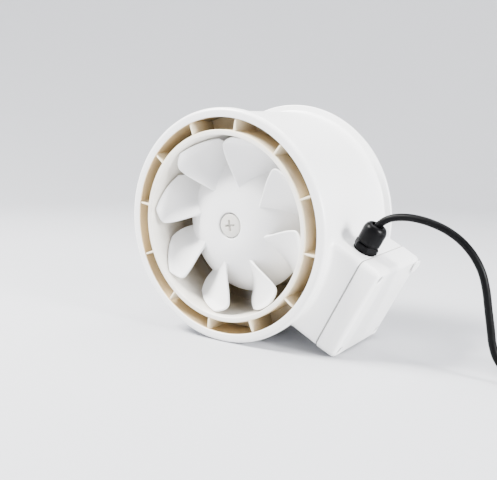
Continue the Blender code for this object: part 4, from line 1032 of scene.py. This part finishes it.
def six_flats(flat, radius, start, end):
    """A factor on the radius that cuts six flats at a distance from the axis, fading out from start to end."""
    def swell(angle, height):
        off = np.abs((angle / (math.pi / 3)) % 1.0 - 0.5) * (math.pi / 3)
        straight = np.minimum(1.0, flat / radius / np.cos(off))
        return 1 - (1 - straight) * (1 - smooth_step((height - start) / (end - start)))
    return swell


def make_gland_pieces(settings):
    """Hexagon body and domed nut of the cable gland, turned about its axis with their flats cut by a factor."""
    g = settings.gland
    foot = on_gland(0.0)
    nut, top = NUT_LOW[2], NUT_HIGH[2]
    gap, hexagon_height, thread, bore, shoulder = 0.0003, 0.0055, 0.0068, 0.0041, 0.0071
    body, corner = nut - gap - hexagon_height, g.hexagon_flat / math.cos(math.pi / 6)
    hexagon = rounded([
        (bore, body, 0.0), (corner - 0.0005, body, 0.0002), (corner, body + 0.0005, 0.0002),
        (corner, nut - 0.0012, 0.0003), (corner - 0.0011, nut - gap, 0.0003), (bore, nut - gap, 0.0),
    ], pieces=4)
    low, high = HEXAGON_LOW[2], nut + 0.0042
    stem = rounded([(0.0040, low, 0.0), (thread, low, 0.0006), (thread, high, 0.0006), (0.0040, high, 0.0)])
    all_flat = six_flats(g.hexagon_flat, corner, top, top + 1.0)
    make_piece("gland_hexagon", [turned(hexagon, foot, UP, sides=180, swell=all_flat),
                                 turned(stem, foot, UP, sides=64)], "black_nylon", ["gland_body"], sharp=24.0)
    dome = [(g.nut_radius - g.dome_inset * (1 - math.cos(a)), top - g.dome_height * (1 - math.sin(a)))
            for a in quarter(14)]
    mouth, seal = g.nut_radius - g.dome_inset - 0.0006, top - g.mouth_depth
    outer = [(shoulder, nut), (g.nut_radius - 0.0007, nut), (g.nut_radius, nut + 0.0007)]
    inside = [(mouth, top - 0.0004), (mouth - 0.0005, top - 0.0018), (0.0046, seal), (shoulder, seal - 0.002)]
    flats = six_flats(g.nut_flat, g.nut_radius, top - 0.0115, top - 0.0055)
    make_piece("gland_nut", [turned(outer + dome + inside, foot, UP, sides=216, swell=flats)], "black_nylon",
               ["gland_dome_nut"], sharp=30.0)
    lip = 0.0033
    rib = [(lip + 0.0018 * math.sin(a), seal + 0.0013 * (1 - math.cos(a)) - 0.0006)
           for a in np.linspace(0.2, math.pi / 2, 6)]
    rib = [(lip, seal - 0.0006)] + rib + [(0.0052, seal - 0.003), (lip, seal - 0.003)]
    make_piece("gland_seal_lip", [turned(rib, foot, UP, sides=64)], "black_rubber")


# ---- rear side


def vane_sheet(r, s, u, v, number):
    """Guide vane: back along the axis by u, out from cup to duct by v; its turn dies away to the rear."""
    angle = r.vane_first + math.tau * number / r.vanes + r.vane_sweep * (1 - (1 - u) ** 2)
    inner = r.cup_radius - r.cup_wall / 2
    radius = inner + (s.bore + s.wall / 2 - inner) * v
    depth = r.vane_front + (r.vane_rear - r.vane_front) * u
    return np.stack([radius * np.cos(angle), depth, radius * np.sin(angle)], axis=-1)


def vane_surface(r, s, number):
    """The vane's middle surface moved half a thickness both ways, its front and rear edges round."""
    half = r.vane_thickness / 2
    swing = quarter(6)
    near = half * (1 - np.cos(swing)) / (r.vane_rear - r.vane_front)
    u = np.concatenate([near, np.linspace(near[-1], 1 - near[-1], 22)[1:-1], 1 - near[::-1]])
    fall = np.concatenate([np.sin(swing), np.ones(20), np.sin(swing)[::-1]])[:, None, None]
    v = np.linspace(0.0, 1.0, 4)
    u, v = np.meshgrid(u, v, indexing="ij")
    step = 0.003
    spots = vane_sheet(r, s, u, v, number)
    ahead = vane_sheet(r, s, u + step, v, number) - vane_sheet(r, s, u - step, v, number)
    across = vane_sheet(r, s, u, v + step, number) - vane_sheet(r, s, u, v - step, number)
    normal = np.cross(ahead, across)
    normal /= np.linalg.norm(normal, axis=-1, keepdims=True)
    loop = np.concatenate([spots + normal * half * fall, (spots - normal * half * fall)[::-1]])
    loop = np.swapaxes(loop, 0, 1)
    ends = [np.concatenate([spots[:, k], spots[::-1, k]])[None] for k in (0, -1)]
    return grid(at(np.concatenate([ends[0], loop, ends[1]])))


def make_rear_pieces(settings):
    r, s, c = settings.rear, settings.sleeve, settings.casing
    outer, cup, cup_inside = s.bore + s.wall, r.cup_radius, r.cup_radius - r.cup_wall
    plate_rear = c.body_length - r.plate_recess
    plate_front = plate_rear - r.plate_thickness
    rim = c.radius - c.body_step - c.draft - c.wall - 0.0004
    collar = outer + 0.0003
    duct = rounded([
        (s.bore, s.end + 0.0003, 0.0004),
        (collar, s.end + 0.0003, 0.0),
        (collar, r.collar_start, 0.0004),
        (collar + 0.002, r.collar_start, 0.0005),
        (collar + 0.002, s.end + 0.0043, 0.001),
        (outer, s.end + 0.0063, 0.001),
        (outer, plate_front, 0.002),
        (rim, plate_front, 0.0004),
        (rim, plate_rear, 0.0008),
        (s.bore, plate_rear, 0.0022),
    ], pieces=6)
    motor_cup = rounded([
        (0.009, r.cup_front, 0.0006),
        (cup, r.cup_front, 0.002),
        (cup, r.cup_rear, 0.0004),
        (cup_inside, r.cup_rear, 0.0004),
        (cup_inside, r.cup_front + r.cup_wall, 0.001),
        (0.009, r.cup_front + r.cup_wall, 0.0006),
    ], pieces=6)
    run, inside, outside = outer - 0.061, 0.0031, 0.0046
    lead_depth = seen_along("motor_lead")[1][1] - 0.0025
    ring = rounded([(inside, 0.0, 0.0), (outside, 0.0, 0.0), (outside, run, 0.0), (inside, run, 0.0)])
    conduit = turned(ring, at((0.0605, lead_depth, 0.0)), OUT, sides=48)
    vanes = [vane_surface(r, s, number) for number in range(r.vanes)]
    rounds = [turned(duct, sides=c.sides), turned(motor_cup, sides=192), conduit]
    make_piece("guide_vanes_and_duct", rounds + vanes, "cream_plastic", ["guide_vane_housing"])
    land = cup_inside - 0.0114
    low, high = COVER_LOW[1], COVER_HIGH[1]
    wall = r.cup_wall
    dome = [(land * math.cos(a), low + wall + r.cover_rise * math.sin(a)) for a in quarter(26)]
    edge = rounded([(0.0, low, 0.0), (cup, low, 0.0003), (cup, low + wall, 0.0008),
                    (land + 0.0012, low + wall, 0.0012), dome[1] + (0.0,)], closed=False)
    cover = turned(np.concatenate([edge[:-1], dome[1:-1], [(0.0, high)]]), sides=192, closed=False)
    make_piece("motor_cover_skin", [cover], "cream_cover", ["motor_cover"])
    for kind, count, height in (("housing_screw", 4, 0.0024), ("motor_bolt", 3, 0.0022)):
        for number in range(1, count + 1):
            node = f"{kind}_{number}"
            low, high = seen_along(node)
            middle = middle_of(node)
            made = screw(at((middle[0], high[1] - height, middle[2])), BACK, (0.0036, height), 0.0006,
                         (0.0021, 0.001, 0.0013), (0.0013, 0.0004, low[1] - high[1] + height), 0.7 * number,
                         sides=64, rings=34)
            make_piece(f"{node}_skin", made, "steel", [node])


# ---- cord, coil, tie and plug

CORD_LIP = 0.0012  # from the gland's top to where the cord starts to bend
CORD_ROUTE = [
    (0.1115, -0.0229, 0.1114),
    (0.1157, -0.0229, 0.1140),
    (0.1214, -0.0229, 0.1160),
    (0.1318, -0.0229, 0.1171),
    (0.1422, -0.0229, 0.1163),
    (0.1527, -0.0229, 0.1140),
    (0.1639, -0.0228, 0.1098),
    (0.1747, -0.0228, 0.1032),
    (0.1843, -0.0227, 0.0936),
    (0.1914, -0.0227, 0.0819),
    (0.1954, -0.0226, 0.0688),
    (0.1980, -0.0226, 0.0540),
    (0.2006, -0.0225, 0.0393),
    (0.2023, -0.0225, 0.0294),
    (0.2061, -0.0225, 0.0190),
    (0.2132, -0.0225, 0.0106),
    (0.2229, -0.0225, 0.0050),
    (0.2330, -0.0225, 0.0031),
]
TAIL_ROUTE = [
    (0.3010, 0.0290, 0.0095),
    (0.3010, 0.0406, 0.0080),
    (0.3006, 0.0480, 0.0069),
    (0.2984, 0.0600, 0.0051),
    (0.2925, 0.0712, 0.0041),
    (0.2838, 0.0786, 0.0047),
    (0.2755, 0.0820, 0.0060),
    (0.2665, 0.0830, 0.0068),
    (0.2620, 0.0830, 0.0068),
]
# Radius in pitches from the middle of the coil, and layer, of each turn from where the cord comes in
COIL_TURNS = [(1, 0), (0, 0), (-1, 0), (-1, 1), (0, 1), (1, 1)]
SHIFT_FROM, SHIFT_TO = math.radians(148.0), math.radians(238.0)


def coil_points(c):
    """The turns: each keeps its radius and layer, and moves on to the next one's over a stretch of the circle.

    The cord comes in at the front of the coil, heading along +X, and goes round anticlockwise. It leaves at the
    coil's +X side, a quarter turn into the last turn.
    """
    middle = (np.array(COIL_LOW) + np.array(COIL_HIGH)) / 2
    floor = COIL_LOW[2] + c.diameter / 2
    start, end = -math.pi / 2, math.tau * (len(COIL_TURNS) - 1)
    angle = np.arange(start, end, c.spacing / c.turn_radius)
    turn = np.floor((angle - start) / (math.tau)).astype(int)
    table = np.array(COIL_TURNS + COIL_TURNS[-1:], float)
    here = angle - start - math.tau * turn
    shift = smooth_step((here - (SHIFT_FROM - start)) / (SHIFT_TO - SHIFT_FROM))[:, None]
    slot = table[turn] * (1 - shift) + table[turn + 1] * shift
    radius = c.turn_radius + slot[:, 0] * c.pitch
    height = floor + slot[:, 1] * (c.pitch + 0.0001)
    return np.stack([middle[0] + radius * np.cos(angle), middle[1] + radius * np.sin(angle), height], axis=1)


def smooth_route(points, spacing):
    """Points about every spacing along a centripetal Catmull-Rom curve through the given points."""
    given = [np.array(point, float) for point in points]
    full = [2 * given[0] - given[1]] + given + [2 * given[-1] - given[-2]]
    dense = []
    for a, b, c, d in zip(full, full[1:], full[2:], full[3:]):
        t1 = math.sqrt(np.linalg.norm(b - a))
        t2 = t1 + math.sqrt(np.linalg.norm(c - b))
        t3 = t2 + math.sqrt(np.linalg.norm(d - c))
        t = np.linspace(t1, t2, 16, endpoint=False)[:, None]
        ab, bc = a + (b - a) * t / t1, b + (c - b) * (t - t1) / (t2 - t1)
        cd = c + (d - c) * (t - t2) / (t3 - t2)
        abc, bcd = ab + (bc - ab) * t / t2, bc + (cd - bc) * (t - t1) / (t3 - t1)
        dense.append(abc + (bcd - abc) * (t - t1) / (t2 - t1))
    dense = np.concatenate(dense + [given[-1][None]])
    run = np.concatenate([[0.0], np.cumsum(np.linalg.norm(np.diff(dense, axis=0), axis=1))])
    stops = np.linspace(0.0, run[-1], max(2, round(run[-1] / spacing)) + 1)
    return np.stack([np.interp(stops, run, dense[:, axis]) for axis in range(3)], axis=1)


def cord_line(c, g):
    """The cord's middle line from inside the gland's mouth to inside the plug's relief, evenly spaced."""
    mouth, lip = on_gland(NUT_HIGH[2] - g.mouth_depth), on_gland(NUT_HIGH[2] - CORD_LIP)
    return mouth, smooth_route([mouth, lip, *CORD_ROUTE, *coil_points(c)[1::4], *TAIL_ROUTE], c.spacing)


def make_cord_piece(settings):
    c = settings.cord
    mouth, line = cord_line(c, settings.gland)
    curve = bpy.data.curves.new("cord", "CURVE")
    curve.dimensions = "3D"
    curve.bevel_depth = c.diameter / 2
    curve.bevel_resolution = 5
    curve.use_fill_caps = True
    spline = curve.splines.new("POLY")
    spline.points.add(len(line) - 1)
    spline.points.foreach_set("co", np.column_stack([line, np.ones(len(line))]).ravel())
    spline.use_smooth = True
    curve.materials.append(MATERIALS["cord_sheath"])
    cord = bpy.data.objects.new("cord", curve)
    show(cord)
    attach(cord, "root")
    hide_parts("power_cord", "cord_coil", "cord_tail")
    run = float(np.linalg.norm(np.diff(line, axis=0), axis=1).sum())
    tuple(mouth)


def make_tie_piece(settings):
    """The strap around the coil: a thin rounded section carried round a rounded rectangle in Y and Z."""
    wall = settings.cord.tie_thickness
    low, high = np.array(TIE_LOW), np.array(TIE_HIGH)
    middle, half = (low + high) / 2, (high - low) / 2 - wall / 2
    places, ways = outline(half[1], half[2], 0.0042, along=10)
    count = len(places)
    spots = np.column_stack([np.full(count, middle[0]), middle[1] + places[:, 0], middle[2] + places[:, 1]])
    outward = np.column_stack([np.zeros(count), ways[:, 0], ways[:, 1]])
    across = np.tile([1.0, 0.0, 0.0], (count, 1))
    wide = half[0] + wall / 2
    section = rounded([(-wide, -wall / 2, 0.0003), (wide, -wall / 2, 0.0003), (wide, wall / 2, 0.0003),
                       (-wide, wall / 2, 0.0003)], pieces=3)
    make_piece("tie", [swept((spots, across, outward), section)], "black_rubber", ["cord_tie"])


def plug_surface(run, half_width, half_height):
    """The plug's body: superellipses |y/b|^4.2 + |z/c|^4.2 = 1 along its length, waisted where fingers hold it.

    s runs from the cord's end to the pins' face, b = half_width (1 - 0.34 (1 - s)^2.2 - 0.045 sin(pi s)^2) and
    c = half_height (1 - 0.16 (1 - s)^2 - 0.05 sin(pi s)^2). Both close in over the first and last few rows.
    """
    s = np.concatenate([[0.0, 0.0, 0.004, 0.015, 0.035], np.linspace(0.07, 0.95, 30),
                        [0.975, 0.99, 0.998, 1.0, 1.0]])
    near = np.array([0.0, 0.6, 0.78, 0.9, 0.97] + [1.0] * 30 + [0.985, 0.965, 0.94, 0.9, 0.0])
    angle = np.linspace(0.0, math.tau, 120, endpoint=False)[None, :]
    wide = half_width * (1 - 0.34 * (1 - s) ** 2.2 - 0.045 * np.sin(math.pi * s) ** 2) * near
    tall = half_height * (1 - 0.16 * (1 - s) ** 2 - 0.05 * np.sin(math.pi * s) ** 2) * near
    power = 2 / 4.2
    y = wide[:, None] * np.sign(np.cos(angle)) * np.abs(np.cos(angle)) ** power
    z = tall[:, None] * np.sign(np.sin(angle)) * np.abs(np.sin(angle)) ** power
    return s * run, y, z


def make_plug_pieces():
    """A flat two-pin plug: body, ribbed relief and pins. The pins point along -X."""
    low, high = np.array(PLUG_LOW), np.array(PLUG_HIGH)
    pin_low, pin_high = np.array(PIN_LOW), np.array(PIN_HIGH)
    relief = 0.01
    body_end = high[0] - relief
    x, y, z = plug_surface(body_end - low[0], (high[1] - low[1]) / 2, (high[2] - low[2]) / 2)
    middle = (low + high) / 2
    points = np.stack([body_end - x[:, None] + 0.0 * y, middle[1] + y, middle[2] + z], axis=-1)
    step = np.linspace(0.0, 1.0, 61)
    waves = 0.0005 * np.cos(step * math.tau * 5) * (step < 0.94)
    sleeve = np.column_stack([0.0056 - 0.0017 * step + waves, -0.003 + (relief + 0.003) * step])
    sleeve = np.concatenate([[(0.0, -0.003)], sleeve, [(0.0033, relief + 0.0), (0.0, relief)]])
    towards_cord = np.array([1.0, 0.0, 0.0])
    boot = turned(sleeve, np.array([body_end, *middle[1:]]), towards_cord, sides=72, closed=False)
    make_piece("plug", [grid(points), boot], "black_nylon", ["plug_body"])
    for number in (1, 2):
        box_low, box_high = (np.array(corner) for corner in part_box(f"plug_pin_{number}"))
        centre = (box_low + box_high) / 2
        radius, run = (pin_high[2] - pin_low[2]) / 2, box_high[0] - box_low[0]
        profile = rounded([(0.0, -0.001, 0.0), (radius, -0.001, 0.0), (radius, run, radius * 0.75),
                           (0.0, run, 0.0)], pieces=8, closed=False)
        pin = turned(profile, np.array([box_high[0], *centre[1:]]), -towards_cord, sides=48, closed=False)
        make_piece(f"plug_pin_skin_{number}", [pin], "brass", [f"plug_pin_{number}"])


# ---- stage


def facing(place, aim):
    """The placement of a camera or light that looks from one point to another."""
    place = Vector(place)
    turn = (Vector(aim) - place).to_track_quat("-Z", "Y")
    return Matrix.Translation(place) @ turn.to_matrix().to_4x4()


def make_camera(settings):
    t = settings.stage
    data = bpy.data.cameras.new("camera")
    data.lens = t.focal
    data.sensor_width = 36.0
    camera = bpy.data.objects.new("camera", data)
    show(camera)
    camera.matrix_world = facing(t.camera_place, t.camera_aim) @ Matrix.Rotation(t.camera_roll, 4, "Z")
    bpy.context.scene.camera = camera


def make_light(name, place, aim, size, power, colour):
    data = bpy.data.lights.new(name, "AREA")
    data.shape = "RECTANGLE"
    data.size, data.size_y = size
    data.energy = power
    data.color = colour
    light = bpy.data.objects.new(name, data)
    show(light)
    light.matrix_world = facing(place, aim)


def make_stage_pieces(settings):
    """A round floor that curves up into a wall, soft lights above and beside, and a pale surrounding."""
    t = settings.stage
    low = min(0.0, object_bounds()[0].z)
    profile = [(0.0, low), (t.floor_radius * 0.5, low)]
    profile += [(t.floor_radius + t.floor_curve * math.sin(a), low + t.floor_curve * (1 - math.cos(a)))
                for a in quarter(25)]
    profile.append((t.floor_radius + t.floor_curve, low + 2.4))
    bowl = turned(profile, np.zeros(3), np.array([0.0, 0.0, 1.0]), sides=96, closed=False)
    mesh = make_mesh("floor", [bowl], outward=False)
    mesh.shade_smooth()
    tone = tuple(t.floor_colour)
    floor = Finish("floor", tone, 0.62)
    floor.set(floor.shader, {"Base Color": floor.tint(floor.noise(1.2), tone, shade(tone, 0.985))})
    mesh.materials.append(floor.material)
    stage = bpy.data.objects.new("floor", mesh)
    show(stage)
    stage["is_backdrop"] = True
    world = bpy.data.worlds.new("studio")
    world.use_nodes = True
    sky = world.node_tree.nodes["Background"].inputs
    sky["Color"].default_value = (0.93, 0.95, 1.0, 1.0)
    sky["Strength"].default_value = 0.33
    bpy.context.scene.world = world
    make_light("key", (-0.8, -0.5, 1.25), (0.0, 0.0, 0.08), (0.5, 0.5), 122.0, (1.0, 0.99, 0.97))
    make_light("top", (0.25, 0.35, 1.5), (0.0, 0.0, 0.05), (1.1, 0.8), 30.0, (0.97, 0.98, 1.0))
    make_light("fill", (1.3, -0.15, 0.45), (0.05, 0.0, 0.08), (0.3, 0.3), 55.0, (1.0, 1.0, 1.0))


# ---- operators


class FanOperator:
    bl_options = {"REGISTER", "UNDO"}

    def execute(self, context):
        self.build(context.scene.duct_fan)
        return {"FINISHED"}


class OBJECT_OT_fan_finishes(FanOperator, bpy.types.Operator):
    """Make the fan's finishes"""
    bl_idname = "object.fan_finishes"
    bl_label = "Finishes"

    def build(self, settings):
        make_finishes(settings.finish)


class OBJECT_OT_fan_camera(FanOperator, bpy.types.Operator):
    """Place the camera"""
    bl_idname = "object.fan_camera"
    bl_label = "Camera"

    def build(self, settings):
        make_camera(settings)


class OBJECT_OT_fan_plug(FanOperator, bpy.types.Operator):
    """Build the plug and the coil's tie"""
    bl_idname = "object.fan_plug"
    bl_label = "Plug and tie"

    def build(self, settings):
        make_plug_pieces()
        make_tie_piece(settings)


class OBJECT_OT_fan_cord(FanOperator, bpy.types.Operator):
    """Lay the cord from the gland through its coil to the plug"""
    bl_idname = "object.fan_cord"
    bl_label = "Cord"

    def build(self, settings):
        make_cord_piece(settings)


class OBJECT_OT_fan_casing(FanOperator, bpy.types.Operator):
    """Build the casing with the terminal box's base"""
    bl_idname = "object.fan_casing"
    bl_label = "Casing"

    def build(self, settings):
        make_casing_pieces(settings)


class OBJECT_OT_fan_sleeve(FanOperator, bpy.types.Operator):
    """Build the inlet sleeve and its ribs"""
    bl_idname = "object.fan_sleeve"
    bl_label = "Sleeve and ribs"

    def build(self, settings):
        make_sleeve_pieces(settings)


class OBJECT_OT_fan_impeller(FanOperator, bpy.types.Operator):
    """Build the impeller and its cap screw"""
    bl_idname = "object.fan_impeller"
    bl_label = "Impeller"

    def build(self, settings):
        make_impeller_pieces(settings)


class OBJECT_OT_fan_lid(FanOperator, bpy.types.Operator):
    """Build the terminal box's lid with its screws"""
    bl_idname = "object.fan_lid"
    bl_label = "Lid"

    def build(self, settings):
        make_lid_pieces(settings)


class OBJECT_OT_fan_gland(FanOperator, bpy.types.Operator):
    """Build the cable gland"""
    bl_idname = "object.fan_gland"
    bl_label = "Gland"

    def build(self, settings):
        make_gland_pieces(settings)


class OBJECT_OT_fan_rear(FanOperator, bpy.types.Operator):
    """Build the guide vanes, duct, motor cover and rear screws"""
    bl_idname = "object.fan_rear"
    bl_label = "Rear side"

    def build(self, settings):
        make_rear_pieces(settings)


class OBJECT_OT_fan_inner_parts(FanOperator, bpy.types.Operator):
    """Give the inner parts that stay as solids their finishes"""
    bl_idname = "object.fan_inner_parts"
    bl_label = "Inner parts"

    def build(self, settings):
        slots = {part["node"]: part["material_slot"] for part in frame["record"]["subparts"]}
        for node, held in frame["nodes"].items():
            if not held.hide_render:
                dress_node(node, slots[node])


class OBJECT_OT_fan_stage(FanOperator, bpy.types.Operator):
    """Make the floor and the lights"""
    bl_idname = "object.fan_stage"
    bl_label = "Stage"

    def build(self, settings):
        make_stage_pieces(settings)


OPERATORS = [
    OBJECT_OT_fan_finishes,
    OBJECT_OT_fan_camera,
    OBJECT_OT_fan_plug,
    OBJECT_OT_fan_cord,
    OBJECT_OT_fan_casing,
    OBJECT_OT_fan_sleeve,
    OBJECT_OT_fan_impeller,
    OBJECT_OT_fan_lid,
    OBJECT_OT_fan_gland,
    OBJECT_OT_fan_rear,
    OBJECT_OT_fan_inner_parts,
    OBJECT_OT_fan_stage,
]


class VIEW3D_PT_duct_fan(bpy.types.Panel):
    """Buttons that build the fan's pieces, and their sizes"""
    bl_label = "Duct fan"
    bl_space_type = "VIEW_3D"
    bl_region_type = "UI"
    bl_category = "Duct fan"

    def draw(self, context):
        for operator in OPERATORS:
            self.layout.operator(operator.bl_idname)
        settings = context.scene.duct_fan
        for key, group in GROUPS.items():
            box = self.layout.box()
            box.label(text=key.capitalize())
            for name in group.__annotations__:
                box.prop(getattr(settings, key), name)


CLASSES = [*GROUPS.values(), DuctFanSettings, *OPERATORS, VIEW3D_PT_duct_fan]


def register():
    for cls in CLASSES:
        bpy.utils.register_class(cls)
    bpy.types.Scene.duct_fan = PointerProperty(type=DuctFanSettings)


def unregister():
    del bpy.types.Scene.duct_fan
    for cls in reversed(CLASSES):
        bpy.utils.unregister_class(cls)


def clear_startup_objects():
    for name in ("Cube", "Light", "Camera"):
        if name in bpy.data.objects:
            bpy.data.objects.remove(bpy.data.objects[name])


def main():
    clear_startup_objects()
    register()
    for operator in OPERATORS:
        group, name = operator.bl_idname.split(".")
        getattr(getattr(bpy.ops, group), name)()
    bpy.context.view_layer.update()


if __name__ == "__main__":
    main()
